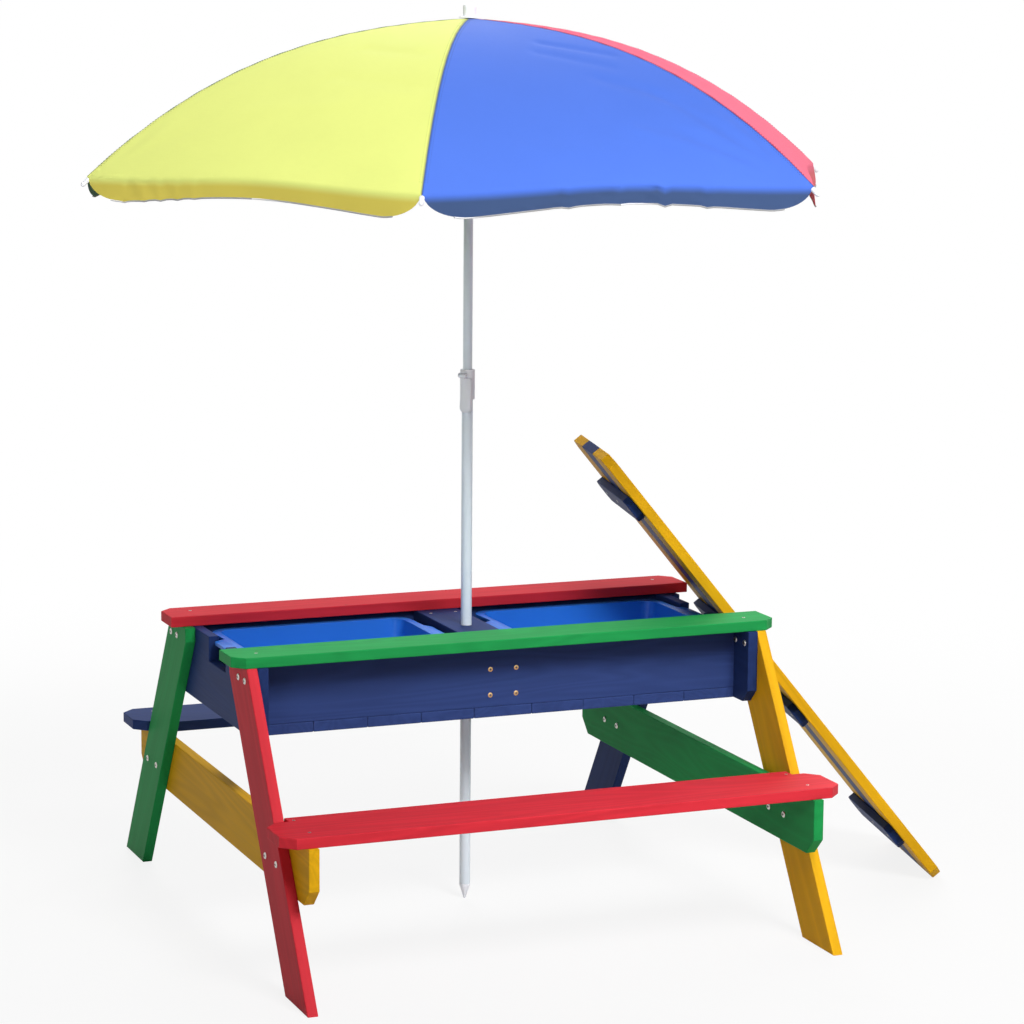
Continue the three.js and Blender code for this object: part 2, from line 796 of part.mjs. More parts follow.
// Upper pole and the crown that carries the ribs and holds the cloth down
function addUpperPole() {
  const bottom = CLAMP_TOP - UPPER_POLE_OVERLAP;
  const top = CANOPY_TOP - CROWN_SEAT_DROP;
  const inner = upperPoleRadius - UPPER_POLE_WALL;
  const pole = tube(upperPoleRadius, inner, bottom, top - GAP, ROUND);
  add("pole_upper", pole, PAINT.steel());
}

function addCrown() {
  const hub = CROWN_HUB_DIAMETER / 2;
  const hubTop = CANOPY_TOP - CROWN_HUB_DROP;
  const hubBottom = hubTop - CROWN_HUB_HEIGHT;
  const seat = CANOPY_TOP - CROWN_SEAT_DROP;
  const bore = upperPoleRadius + GAP;
  const neck = CROWN_NECK_DIAMETER / 2;
  const flange = CROWN_FLANGE_DIAMETER / 2;
  const flangeBottom = CANOPY_TOP + GAP;
  const flangeTop = flangeBottom + CROWN_FLANGE;
  const finial = FINIAL_DIAMETER / 2;
  const finialTop = flangeTop + FINIAL_HEIGHT;
  const roundOff = (turn) => [
    finial - FINIAL_ROUND + FINIAL_ROUND * Math.cos(deg(turn)),
    finialTop - FINIAL_ROUND + FINIAL_ROUND * Math.sin(deg(turn)),
  ];
  const body = turned(
    [
      [0, seat],
      [bore, seat],
      [bore, hubBottom],
      [hub, hubBottom],
      [hub, hubTop],
      [neck, hubTop],
      [neck, flangeBottom],
      [flange, flangeBottom],
      [flange, flangeTop],
      [finial, flangeTop],
      roundOff(0),
      roundOff(30),
      roundOff(60),
      roundOff(90),
      [0, finialTop],
    ],
    ROUND,
  );
  const slotWidth = RIB_WIDTH + 2 * SLIDE_GAP;
  const slotTop = hubTop - HINGE_WALL;
  const slotInner = RIB_PIVOT_RADIUS - RIB_EYE / 2 - SLIDE_GAP;
  const slotBottom = hubBottom - OVERRUN;
  const slots = [];
  const pins = [];
  for (let i = 0; i < CANOPY_PANELS; i++) {
    const turn = deg(CANOPY_TURN + i * CANOPY_STEP);
    const slot = box(
      [hub, slotWidth, slotTop - slotBottom],
      [slotInner + hub / 2, 0, (slotTop + slotBottom) / 2],
    );
    slots.push(slot.rotateZ(turn));
    const length = slotWidth + 2 * HINGE_WALL;
    pins.push(crossPin(RIB_PIVOT_RADIUS, ribPivotHeight, PIN, length).rotateZ(turn));
  }
  add("crown", join(cut(body, ...slots), ...pins), PAINT.white());
}

// The sliding runner, with a slot and a pin for each stretcher
const stretcherSide = RIB_WIDTH / 2 + SLIDE_GAP + STRETCHER_THICKNESS / 2;

function addRunner() {
  const bore = upperPoleRadius + SLIDE_GAP;
  const ring = RUNNER_RING_DIAMETER / 2;
  const sleeve = RUNNER_SLEEVE_DIAMETER / 2;
  const grip = RUNNER_GRIP_DIAMETER / 2;
  const ringTop = runnerHeight + RUNNER_RING / 2;
  const ringBottom = ringTop - RUNNER_RING;
  const gripTop = ringBottom - RUNNER_SLEEVE + RUNNER_GRIP;
  const body = turned(
    [
      [bore, ringTop],
      [bore, gripTop - RUNNER_GRIP],
      [grip, gripTop - RUNNER_GRIP],
      [grip, gripTop],
      [sleeve, gripTop],
      [sleeve, ringBottom],
      [ring, ringBottom],
      [ring, ringTop],
    ],
    ROUND,
  );
  const slotWidth = STRETCHER_THICKNESS + 2 * SLIDE_GAP;
  const slotInner = RIB_PIVOT_RADIUS - STRETCHER_EYE / 2 - SLIDE_GAP;
  const slotBottom = runnerHeight - STRETCHER_EYE / 2 - SLIDE_GAP;
  const slotTop = ringTop + OVERRUN;
  const slots = [];
  const pins = [];
  for (let i = 0; i < CANOPY_PANELS; i++) {
    const turn = deg(CANOPY_TURN + i * CANOPY_STEP);
    const slot = box(
      [ring, slotWidth, slotTop - slotBottom],
      [slotInner + ring / 2, stretcherSide, (slotTop + slotBottom) / 2],
    );
    slots.push(slot.rotateZ(turn));
    const length = slotWidth + 2 * HINGE_WALL;
    const pin = crossPin(RIB_PIVOT_RADIUS, runnerHeight, PIN, length, stretcherSide);
    pins.push(pin.rotateZ(turn));
  }
  add("runner", join(cut(body, ...slots), ...pins), PAINT.white());
}

// A rib: an eye on the crown's pin, a bowed bar under the cloth and a round cap past its corner
function addRibs() {
  const eye = RIB_EYE / 2;
  const at = (i) => RIB_SLOPE_START + ((CANOPY_RADIUS - RIB_SLOPE_START) * i) / RIB_STEPS;
  const top = [];
  const bottom = [];
  for (let i = 0; i <= RIB_STEPS; i++) {
    top.push(underCloth(at(i), RIB_DROP));
    bottom.push(underCloth(at(i), RIB_DROP + RIB_HEIGHT));
  }
  const shape = new THREE.Shape();
  shape.moveTo(...top[RIB_STEPS]);
  for (let i = RIB_STEPS - 1; i >= 0; i--) shape.lineTo(...top[i]);
  shape.absarc(RIB_PIVOT_RADIUS, ribPivotHeight, eye, Math.PI / 2, (3 * Math.PI) / 2, false);
  bottom.forEach((point) => shape.lineTo(...point));
  shape.holes.push(
    roundHole(RIB_PIVOT_RADIUS, ribPivotHeight, PIN / 2 + PIN_PLAY, SMALL_ROUND),
  );
  const bar = standRadial(shape, RIB_WIDTH);

  const radius = CAP_DIAMETER / 2;
  const rounding = [0, 30, 60].map((turn) => [
    radius * Math.cos(deg(turn)),
    CAP_LENGTH - radius + radius * Math.sin(deg(turn)),
  ]);
  const profile = [[0, CAP_START], [radius, CAP_START], ...rounding, [0, CAP_LENGTH]];
  const cap = turned(profile, SMALL_ROUND);
  const slope = Math.atan(clothSlope(CANOPY_RADIUS));
  const [tipX, tipZ] = underCloth(CANOPY_RADIUS, RIB_DROP + RIB_HEIGHT / 2);
  const plug = box(
    [CAP_LENGTH, RIB_WIDTH, RIB_HEIGHT],
    [CAP_LENGTH / 2 - CAP_START, 0, 0],
  ).rotateY(-slope);
  const stub = plug.translate(tipX, 0, tipZ);
  const end = cap
    .rotateY(Math.PI / 2 - slope)
    .translate(tipX, 0, tipZ);
  const rib = join(bar, stub, end);
  for (let i = 0; i < CANOPY_PANELS; i++) {
    const turn = deg(CANOPY_TURN + i * CANOPY_STEP);
    add(`rib_${i + 1}`, rib.clone().rotateZ(turn), PAINT.white());
  }
}

// A stretcher: a flat strip beside its rib, with an eye on the runner's pin and a rivet head
function addStretchers() {
  const [endX, endZ] = underCloth(STRETCHER_REACH, RIB_DROP + RIB_HEIGHT / 2);
  const along = Math.atan2(endZ - runnerHeight, endX - RIB_PIVOT_RADIUS);
  const length = Math.hypot(endZ - runnerHeight, endX - RIB_PIVOT_RADIUS);
  const eye = STRETCHER_EYE / 2;
  const half = STRETCHER_WIDTH / 2;
  const shape = new THREE.Shape();
  const spread = Math.asin(half / eye);
  shape.absarc(0, 0, eye, spread, 2 * Math.PI - spread, false);
  shape.absarc(length, 0, eye, Math.PI + spread, Math.PI - spread, false);
  shape.holes.push(roundHole(0, 0, PIN / 2 + PIN_PLAY, SMALL_ROUND));
  const strip = standRadial(shape, STRETCHER_THICKNESS);
  const head = crossPin(
    length,
    0,
    RIVET_DIAMETER,
    RIVET_HEAD,
    STRETCHER_THICKNESS / 2 + RIVET_HEAD / 2 - RIVET_SINK,
  );
  const stretcher = join(strip, head)
    .rotateY(-along)
    .translate(RIB_PIVOT_RADIUS, stretcherSide, runnerHeight);
  for (let i = 0; i < CANOPY_PANELS; i++) {
    const turn = deg(CANOPY_TURN + i * CANOPY_STEP);
    add(`stretcher_${i + 1}`, stretcher.clone().rotateZ(turn), PAINT.steel());
  }
}

// Depth of the valance at a share of the way from one corner of a panel to the next
function valanceDepth(share) {
  const fromCorner = Math.min(share, 1 - share);
  const first = VALANCE_COLUMN_SHARES[1];
  if (fromCorner < first) return CLOTH;
  if (fromCorner < VALANCE_ROUND_SHARE) {
    const away = (VALANCE_ROUND_SHARE - fromCorner) / (VALANCE_ROUND_SHARE - first);
    return CLOTH + (VALANCE_END_DEPTH - CLOTH) * Math.sqrt(Math.max(0, 1 - away ** 2));
  }
  const fromMiddle = (0.5 - fromCorner) / (0.5 - VALANCE_ROUND_SHARE);
  const arch = VALANCE_END_DEPTH - VALANCE_MIDDLE_DEPTH;
  return VALANCE_MIDDLE_DEPTH + arch * fromMiddle ** 2;
}

// One cloth panel: straight across from rib to rib, bowed along them, with a hanging valance
function clothPanel(fromTurn, toTurn) {
  const shares = VALANCE_COLUMN_SHARES;
  const columns = [...shares, ...shares.slice(0, -1).reverse().map((share) => 1 - share)];
  const last = columns.length - 1;
  const innerEdge = (CROWN_NECK_DIAMETER / 2 + SLIDE_GAP) / Math.cos(deg(CANOPY_STEP / 2));
  const place = (radius, height, column) => {
    const share = columns[column];
    const from = [radius * Math.cos(fromTurn), radius * Math.sin(fromTurn)];
    const to = [radius * Math.cos(toTurn), radius * Math.sin(toTurn)];
    const chord = Math.hypot(to[0] - from[0], to[1] - from[1]);
    const shift = column === 0 ? SEAM_GAP / 2 : column === last ? -SEAM_GAP / 2 : 0;
    const where = share + shift / chord;
    return [from[0] + (to[0] - from[0]) * where, from[1] + (to[1] - from[1]) * where, height];
  };
  const side = (depth) => {
    const rows = [];
    for (let row = 0; row <= CLOTH_ROWS; row++) {
      const radius = innerEdge + ((CANOPY_RADIUS - innerEdge) * row) / CLOTH_ROWS;
      const [r, z] = row === CLOTH_ROWS && depth > 0
        ? [radius - depth, clothHeight(radius) - depth]
        : underCloth(radius, depth);
      rows.push(columns.map((_, column) => place(r, z, column)));
    }
    for (let row = 1; row <= VALANCE_ROWS; row++) {
      const rim = clothHeight(CANOPY_RADIUS);
      rows.push(
        columns.map((share, column) => {
          const hang = depth + ((valanceDepth(share) + CLOTH - depth) * row) / VALANCE_ROWS;
          return place(CANOPY_RADIUS - depth, rim - hang, column);
        }),
      );
    }
    return rows;
  };
  return sheet(side(0), side(CLOTH));
}

// Closes two matching grids of points, an outer and an inner one, into a thin solid
function sheet(outer, inner) {
  const triangles = [];
  const face = (a, b, c, d) => {
    triangles.push(...a, ...b, ...c, ...a, ...c, ...d);
  };
  const rows = outer.length - 1;
  const columns = outer[0].length - 1;
  for (let r = 0; r < rows; r++) {
    for (let c = 0; c < columns; c++) {
      face(outer[r][c], outer[r + 1][c], outer[r + 1][c + 1], outer[r][c + 1]);
      face(inner[r][c], inner[r][c + 1], inner[r + 1][c + 1], inner[r + 1][c]);
    }
    face(outer[r][0], inner[r][0], inner[r + 1][0], outer[r + 1][0]);
    face(outer[r][columns], outer[r + 1][columns], inner[r + 1][columns], inner[r][columns]);
  }
  for (let c = 0; c < columns; c++) {
    face(outer[0][c], outer[0][c + 1], inner[0][c + 1], inner[0][c]);
    face(outer[rows][c], inner[rows][c], inner[rows][c + 1], outer[rows][c + 1]);
  }
  const positions = new THREE.Float32BufferAttribute(triangles, 3);
  return new THREE.BufferGeometry().setAttribute("position", positions);
}

function addCanopy() {
  const colours = [
    PAINT.clothYellow(),
    PAINT.clothBlue(),
    PAINT.clothGreen(),
    PAINT.clothYellow(),
    PAINT.clothBlue(),
    PAINT.clothRed(),
  ];
  for (let i = 0; i < CANOPY_PANELS; i++) {
    const from = deg(CANOPY_TURN + i * CANOPY_STEP);
    const to = deg(CANOPY_TURN + (i + 1) * CANOPY_STEP);
    add(`canopy_panel_${i + 1}`, clothPanel(from, to), colours[i]);
  }
}

addRails();
addLegs();
addBenches();
addCrossMembers();
addBox();
addTubs();
addLid();
addLowerPole();
addClamp();
addUpperPole();
addCrown();
addRunner();
addRibs();
addStretchers();
addCanopy();

export default part;
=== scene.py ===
"""A children's picnic table with play tubs and a folding parasol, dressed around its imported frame.

Lengths are metres. X runs along the table, Y points away from the front bench, Z is up, and the
origin is on the floor under the parasol's axis. Board faces keep the frame's own meshes and get
painted wood; tubs, screws, pole, clamp, folding frame and cloth are modelled here.
"""

import json
import math

import bmesh
import bpy
from bpy.props import FloatProperty, FloatVectorProperty, IntProperty, PointerProperty
from mathutils import Matrix, Vector

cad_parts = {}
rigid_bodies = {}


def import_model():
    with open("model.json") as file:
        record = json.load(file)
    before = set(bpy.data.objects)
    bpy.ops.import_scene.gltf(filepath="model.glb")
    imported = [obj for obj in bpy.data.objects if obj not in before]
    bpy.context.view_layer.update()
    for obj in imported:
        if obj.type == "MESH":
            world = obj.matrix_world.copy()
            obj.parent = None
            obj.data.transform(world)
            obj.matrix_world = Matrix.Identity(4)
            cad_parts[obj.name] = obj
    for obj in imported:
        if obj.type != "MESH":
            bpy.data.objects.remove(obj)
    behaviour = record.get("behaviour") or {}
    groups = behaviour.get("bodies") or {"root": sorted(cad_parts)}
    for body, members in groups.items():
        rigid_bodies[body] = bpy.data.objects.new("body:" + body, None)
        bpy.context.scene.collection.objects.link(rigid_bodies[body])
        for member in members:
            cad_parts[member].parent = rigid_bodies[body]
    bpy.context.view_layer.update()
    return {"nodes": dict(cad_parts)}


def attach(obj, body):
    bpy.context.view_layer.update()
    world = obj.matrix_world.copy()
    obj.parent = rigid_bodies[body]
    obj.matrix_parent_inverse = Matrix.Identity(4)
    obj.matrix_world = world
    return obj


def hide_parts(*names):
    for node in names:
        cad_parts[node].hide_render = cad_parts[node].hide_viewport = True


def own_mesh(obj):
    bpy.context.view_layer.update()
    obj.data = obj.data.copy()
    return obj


for default in list(bpy.data.objects):
    bpy.data.objects.remove(default)
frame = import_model()

bl_info = {
    "name": "Picnic Table with Parasol",
    "version": (1, 0, 0),
    "blender": (4, 5, 0),
    "location": "3D View > Sidebar > Picnic Table",
    "description": "Paints a children's picnic table and models its tubs, screws and parasol",
    "category": "Add Mesh",
}

MM = 0.001
UP = Vector((0, 0, 1))
ALONG_X = Vector((1, 0, 0))
ALONG_Y = Vector((0, 1, 0))

# Levels and reaches of the table that new pieces are set against
LEG_OUTER_FACE = 469 * MM
BOX_END = 433 * MM
BOX_FLOOR = 384 * MM
RAIL_TOP = 510 * MM
BENCH_TOP = 274 * MM
PLANK_TOP = 492 * MM
LONG_PANEL_FACE = 175 * MM

# The lid's frame: X down its length to its foot, Y across it, Z out of its upper face
LID_LEAN = math.radians(51.2)
LID_TURN = math.radians(-12)
BOARD = 18 * MM
LID_FOOT = Vector((850.9 * MM, -198 * MM, BOARD * math.cos(LID_LEAN)))
LID_PLACE = Matrix.Translation(LID_FOOT) @ (
    Matrix.Rotation(LID_TURN, 4, "Z") @ Matrix.Rotation(LID_LEAN, 4, "Y")
)

# The parasol
PANELS = 6
PANEL_STEP = math.tau / PANELS
CANOPY_TURN = math.radians(2.8)
CANOPY_RADIUS = 674 * MM
CANOPY_TOP = 1534.5 * MM
CANOPY_DROP = 253.5 * MM
BOW_LINEAR_SHARE = 0.18
BOW_POWER = 2.6
CROWN_EDGE = 8.4 * MM / math.cos(PANEL_STEP / 2)
RIB_DROP = 3.8 * MM
RIB_HEIGHT = 4.5 * MM
RIB_WIDTH = 4 * MM
RIB_PIVOT = Vector((13.5 * MM, 0, 1524 * MM))
RUNNER_PIVOT = Vector((13.5 * MM, 0, 1290 * MM))
STRETCHER_REACH = 250 * MM
STRETCHER_SIDE = 3.65 * MM
CLAMP_TOP = 938.5 * MM
LEVER_TURN = CANOPY_TURN - 2.5 * PANEL_STEP
LEVER_PIVOT = Vector((14.6 * MM, 0, 929 * MM))


def colour_setting(name, description, default):
    return FloatVectorProperty(name=name, description=description, default=default,
                               subtype="COLOR", size=3)


def length_setting(name, description, default, least=MM):
    return FloatProperty(name=name, description=description, default=default, min=least,
                         subtype="DISTANCE", unit="LENGTH")


def share_setting(name, description, default, least=0.0):
    return FloatProperty(name=name, description=description, default=default, min=least, max=1,
                         subtype="FACTOR")


def power_setting(name, description, default):
    return FloatProperty(name=name, description=description, default=default, min=0, unit="POWER")


class TablePaint(bpy.types.PropertyGroup):
    """Colours and grain of the painted boards."""

    red: colour_setting("Red", "Back rail, front left leg and front bench", (0.60, 0.028, 0.042))
    green: colour_setting("Green", "Front rail, back left leg and right cross member",
                          (0.014, 0.27, 0.066))
    yellow: colour_setting("Yellow", "Front right leg, left cross member and lid",
                           (0.70, 0.37, 0.008))
    navy: colour_setting("Navy", "End panels, dividers, back right leg and battens",
                         (0.016, 0.034, 0.125))
    slate: colour_setting("Slate", "Back bench, long panels and slats", (0.028, 0.052, 0.175))
    grain: share_setting("Grain", "How far the wood's fibres show through the paint", 0.10)
    roughness: share_setting("Roughness", "Roughness of the dry paint", 0.5)


class TubMoulding(bpy.types.PropertyGroup):
    """Sizes and colour of one moulded play tub."""

    wall: length_setting("Wall", "Thickness of the moulded sheet", 2.4 * MM)
    corner: length_setting("Corner", "Radius of the upright corners", 26 * MM)
    taper: length_setting("Taper", "How far the walls lean in from rim to floor", 9 * MM, 0.0)
    rim: length_setting("Rim", "Width of the flat rim", 11 * MM)
    colour: colour_setting("Colour", "Colour of the plastic", (0.016, 0.145, 0.60))


class ParasolCloth(bpy.types.PropertyGroup):
    """Cloth of the canopy."""

    thickness: length_setting("Thickness", "Thickness of the woven cloth", 0.9 * MM, 0.1 * MM)
    piping: length_setting("Piping", "Diameter of the white piping on the valance",
                           2.6 * MM, 0.5 * MM)
    pucker: length_setting("Pucker", "Depth of the puckers beside a seam", 0.5 * MM, 0.0)
    folded_share: share_setting(
        "Folded share", "Width of a folded panel as a share of its open width", 0.08, 0.02)
    yellow: colour_setting("Yellow", "Colour of the yellow panels", (0.80, 0.87, 0.235))
    blue: colour_setting("Blue", "Colour of the blue panels", (0.070, 0.170, 0.68))
    red: colour_setting("Red", "Colour of the red panel", (0.80, 0.055, 0.15))
    green: colour_setting("Green", "Colour of the green panel", (0.012, 0.17, 0.07))


class StudioStage(bpy.types.PropertyGroup):
    """Light, floor and camera."""

    top_power: power_setting("Top light", "Power of the large lamp overhead", 8)
    front_power: power_setting("Front light", "Power of the soft lamp at the front and right", 315)
    side_power: power_setting("Side light", "Power of the soft lamp behind and right", 60)
    back_power: power_setting("Back light", "Power of the soft lamp high behind the table", 300)
    canopy_power: power_setting(
        "Canopy light", "Power of the small lamp on the canopy's left side", 3.3)
    bench_power: power_setting("Bench light", "Power of the small lamp over the front bench", 1.6)
    sky: FloatProperty(
        name="Sky", description="Strength of the even light from all round", default=0.13, min=0)
    lens: FloatProperty(
        name="Lens", description="Focal length of the camera", default=112.115, min=1,
        unit="CAMERA")
    floor_reach: IntProperty(
        name="Floor reach", description="Half the side of the floor in metres", default=20, min=5)


# ---------------------------------------------------------------- shader maths


def joins(operation, swapped=False):
    """A method that puts a socket and another value through one maths node."""
    def method(self, other=0.0):
        first, second = (other, self) if swapped else (self, other)
        return self.finish.node("ShaderNodeMath", {"operation": operation}, {0: first, 1: second})
    return method


class Value:
    """One output of a shader node, which takes part in sums and products."""

    def __init__(self, finish, socket):
        self.finish = finish
        self.socket = socket

    __add__ = __radd__ = joins("ADD")
    __sub__ = joins("SUBTRACT")
    __rsub__ = joins("SUBTRACT", swapped=True)
    __mul__ = __rmul__ = joins("MULTIPLY")
    __gt__ = joins("GREATER_THAN")
    at_least = joins("MAXIMUM")
    size = joins("ABSOLUTE")


class Nodes:
    """A node tree that grows one node at a time."""

    def __init__(self, tree):
        self.tree = tree

    def node(self, kind, options=None, values=None, output=0):
        made = self.tree.nodes.new(kind)
        for name, value in (options or {}).items():
            setattr(made, name, value)
        for socket, value in (values or {}).items():
            self.plug(made.inputs[socket], value)
        return Value(self, made.outputs[output])

    def plug(self, socket, value):
        if isinstance(value, Value):
            self.tree.links.new(value.socket, socket)
        else:
            socket.default_value = value

    def seen(self):
        """One for rays that should meet a plain white surround, zero for the light's own rays."""
        kinds = [self.node("ShaderNodeLightPath", output=f"Is {kind} Ray")
                 for kind in ("Camera", "Glossy", "Transmission")]
        return kinds[0].at_least(kinds[1]).at_least(kinds[2])


class Finish(Nodes):
    """One material, built node by node round its Principled shader."""

    def __init__(self, name, **constants):
        self.material = bpy.data.materials.new(name)
        self.material.use_nodes = True
        super().__init__(self.material.node_tree)
        self.shader = self.tree.nodes["Principled BSDF"]
        for socket, value in constants.items():
            self.shader.inputs[socket.replace("_", " ")].default_value = value

    def feed(self, name, value):
        self.plug(self.shader.inputs[name], value)

    def mix(self, share, first, second):
        options = {"data_type": "RGBA", "clamp_factor": True}
        return self.node("ShaderNodeMix", options, {0: share, 6: first, 7: second}, 2)

    def place(self, stretch, turn=(0, 0, 0), shift=(0, 0, 0), source="Object"):
        start = self.node("ShaderNodeTexCoord", output=source)
        turned = self.node(
            "ShaderNodeMapping", values={"Vector": start, "Rotation": turn, "Location": shift})
        return self.node(
            "ShaderNodeVectorMath", {"operation": "MULTIPLY"}, {0: turned, 1: stretch})

    def noise(self, place, detail=3.0, roughness=0.5):
        values = {"Vector": place, "Scale": 1.0, "Detail": detail, "Roughness": roughness}
        return self.node("ShaderNodeTexNoise", values=values)

    def span(self, value, low, high):
        """Goes smoothly from nought at low to one at high."""
        values = {"Value": value, 1: low, 2: high}
        return self.node("ShaderNodeMapRange", {"interpolation_type": "SMOOTHSTEP"}, values)

    def length(self, place):
        return self.node("ShaderNodeVectorMath", {"operation": "LENGTH"}, {0: place}, "Value")

    def bump(self, height, distance, strength=1.0):
        values = {"Height": height, "Distance": distance, "Strength": strength}
        self.feed("Normal", self.node("ShaderNodeBump", values=values))


def rgba(colour, scale=1.0):
    return tuple(min(1.0, channel * scale) for channel in colour) + (1.0,)


KNOT_BROWN = (0.07, 0.03, 0.012)


def painted_wood(name, colour, direction, spots=()):
    """Dry satin paint on planed pine: fine fibres, broad figure, knots and small dark dents."""
    paint = bpy.context.scene.picnic_paint
    wood = Finish(name, Specular_IOR_Level=0.05)
    turn = tuple(direction.rotation_difference(ALONG_X).to_euler())
    fibres = wood.noise(wood.place((7, 300, 300), turn), detail=4, roughness=0.6)
    figure = wood.noise(wood.place((1.5, 17, 17), turn, (0.37, 0.11, 0.53)), detail=3)
    rings = wood.node("ShaderNodeTexNoise", values={
        "Vector": wood.place((0.9, 9, 9), turn), "Scale": 1.0, "Detail": 1.0, "Distortion": 1.6})
    bands = wood.node(
        "ShaderNodeMath", {"operation": "PINGPONG"}, {0: rings * 9.0, 1: 0.5}) * 2.0
    cells = {"Vector": wood.place((4.2, 11, 11), turn), "Scale": 1.0, "Randomness": 1.0}
    near = wood.node("ShaderNodeTexVoronoi", {"feature": "F1"}, cells)
    pick = wood.node("ShaderNodeTexVoronoi", {"feature": "F1"}, cells, "Color")
    chosen = wood.node("ShaderNodeSeparateColor", values={"Color": pick}) > 0.86
    knot = wood.span(near, 0.11, 0.03) * chosen
    for place, radius in spots:
        away = wood.length(wood.place((1, 1, 1), shift=tuple(-Vector(place))))
        knot = knot + wood.span(away + 0.4 * radius * fibres, 1.5 * radius, 0.5 * radius)
    share = fibres * 0.30 + figure * 0.45 + bands * 0.25
    contrast = 0.9 * paint.grain
    dark, light = rgba(colour, 1 - contrast), rgba(colour, 1 + contrast)
    soil = [0.5 * channel + 0.5 * brown for channel, brown in zip(colour, KNOT_BROWN)]
    tinted = wood.mix(wood.span(share, 0.3, 0.75), dark, light)
    wood.feed("Base Color", wood.mix(knot * 0.75, tinted, rgba(soil)))
    wood.feed("Roughness", paint.roughness - 0.06 + 0.14 * fibres)
    wood.bump(fibres * 0.5 + bands * 0.35 + figure * 0.4 - knot * 0.5, 0.09 * MM, 0.8)
    return wood.material


def moulded_plastic(name, colour, roughness, shine=0.3):
    """Moulded plastic with the faint unevenness of its mould."""
    plastic = Finish(name, Specular_IOR_Level=shine)
    broad = plastic.noise(plastic.place((9, 9, 9)), detail=2)
    fine = plastic.noise(plastic.place((420, 420, 420)), detail=2)
    plastic.feed("Base Color", plastic.mix(broad, rgba(colour, 0.93), rgba(colour, 1.06)))
    plastic.feed("Roughness", roughness + 0.09 * broad)
    plastic.bump(fine * 0.4 + broad * 0.6, 0.03 * MM)
    return plastic.material


def coated_steel(name, colour, roughness):
    """Steel under a baked white coat, with its orange-peel surface."""
    coat = Finish(name, Coat_Roughness=0.22)
    peel = coat.noise(coat.place((330, 330, 330)), detail=2)
    cloud = coat.noise(coat.place((7, 7, 3)), detail=3)
    coat.feed("Base Color", coat.mix(cloud, rgba(colour, 0.95), rgba(colour, 1.04)))
    coat.feed("Roughness", roughness + 0.1 * peel)
    coat.feed("Coat Weight", 0.15 + 0.2 * peel)
    coat.bump(peel, 0.03 * MM)
    return coat.material


def plated_metal(name, colour, roughness):
    """Bright plating with fine scratches."""
    metal = Finish(name, Metallic=1.0)
    scratch = metal.noise(metal.place((900, 900, 2400)), detail=3)
    metal.feed("Base Color", metal.mix(scratch, rgba(colour, 0.8), rgba(colour, 1.1)))
    metal.feed("Roughness", roughness + 0.2 * scratch)
    metal.bump(scratch, 0.02 * MM)
    return metal.material


def woven_cloth(name, colour):
    """Plain-woven polyester on the panel's own pattern, with painted shade darkening its valance."""
    cloth = Finish(name, Sheen_Weight=0.12, Sheen_Roughness=0.45, Specular_IOR_Level=0.2)
    flat = cloth.place((1, 1, 1), source="UV")
    warp, weft = (
        cloth.node("ShaderNodeTexWave", {"wave_type": "BANDS", "bands_direction": direction},
                   {"Vector": flat, "Scale": 290.0, "Distortion": 0.4, "Detail": 1.0})
        for direction in "XY")
    weave = warp * weft
    slub = cloth.noise(cloth.place((40, 900, 1), source="UV"), detail=2)
    cloud = cloth.noise(cloth.place((6, 6, 6)), detail=3)
    share = weave * 0.35 + slub * 0.3 + cloud * 0.45
    single = cloth.mix(share, rgba(colour, 0.88), rgba(colour, 1.08))
    # Painted shade: the valance below the rim fold is darkened, more for dark colours and most in
    # blue.
    shade = 0.6 + 0.4 * max(colour[:2])
    valance_painted_shade = rgba([channel * less * shade for channel, less in zip(colour, (0.90, 0.70, 0.42))])
    across, down = (
        cloth.node("ShaderNodeSeparateXYZ", values={"Vector": flat}, output=axis) for axis in "XY")
    hem = cloth.span(down, PATTERN_RIM + 2 * MM, PATTERN_RIM + 16 * MM)
    # Painted shade: a thin dark line along each seam, where the seam's groove lies in shade.
    from_seam = down * (PANEL_CHORD / 2 / PATTERN_RIM) - across.size()
    seam = cloth.span(from_seam, 2.6 * MM, 0.6 * MM)
    body = cloth.mix(hem, single, valance_painted_shade)
    cloth.feed("Base Color", cloth.mix(seam * 0.8, body, rgba(colour, 0.3)))
    cloth.feed("Roughness", 0.66 + 0.2 * slub)
    cloth.bump(weave * 0.7 + slub * 0.3, 0.12 * MM, 0.6)
    return cloth.material


# ---------------------------------------------------------------- modelling


def select_only(piece):
    bpy.ops.object.select_all(action="DESELECT")
    piece.select_set(True)
    bpy.context.view_layer.objects.active = piece


class Editing:
    """Edit mode on one piece, with nothing picked at first."""

    def __init__(self, piece, kind="FACE"):
        self.piece = piece
        self.kind = kind

    def __enter__(self):
        select_only(self.piece)
        bpy.ops.object.mode_set(mode="EDIT")
        bpy.ops.mesh.select_mode(type=self.kind)
        bpy.ops.mesh.select_all(action="DESELECT")
        return self

    def __exit__(self, *error):
        bpy.ops.object.mode_set(mode="OBJECT")

    def pick(self, test, kind=None):
        if kind and kind != self.kind:
            self.kind = kind
            bpy.ops.mesh.select_mode(type=kind)
        bpy.ops.mesh.select_all(action="DESELECT")
        mesh = bmesh.from_edit_mesh(self.piece.data)
        items = {"VERT": mesh.verts, "EDGE": mesh.edges, "FACE": mesh.faces}[self.kind]
        picked = [item for item in items if test(item)]
        for item in picked:
            item.select_set(True)
        bmesh.update_edit_mesh(self.piece.data)
        if not picked:
            raise RuntimeError(f"nothing to pick on {self.piece.name}")

    def pick_all(self):
        bpy.ops.mesh.select_all(action="SELECT")

    def draw_out(self, move):
        bpy.ops.mesh.extrude_region_move(TRANSFORM_OT_translate={"value": tuple(move)})

    def resize(self, share, centre):
        bpy.ops.transform.resize(value=tuple(share), center_override=tuple(centre))

    def bevel(self, width, steps):
        bpy.ops.mesh.bevel(offset=width, segments=steps, affect="EDGES", clamp_overlap=True)


def named(name):
    piece = bpy.context.object
    piece.name = name
    piece.data.name = name
    return piece


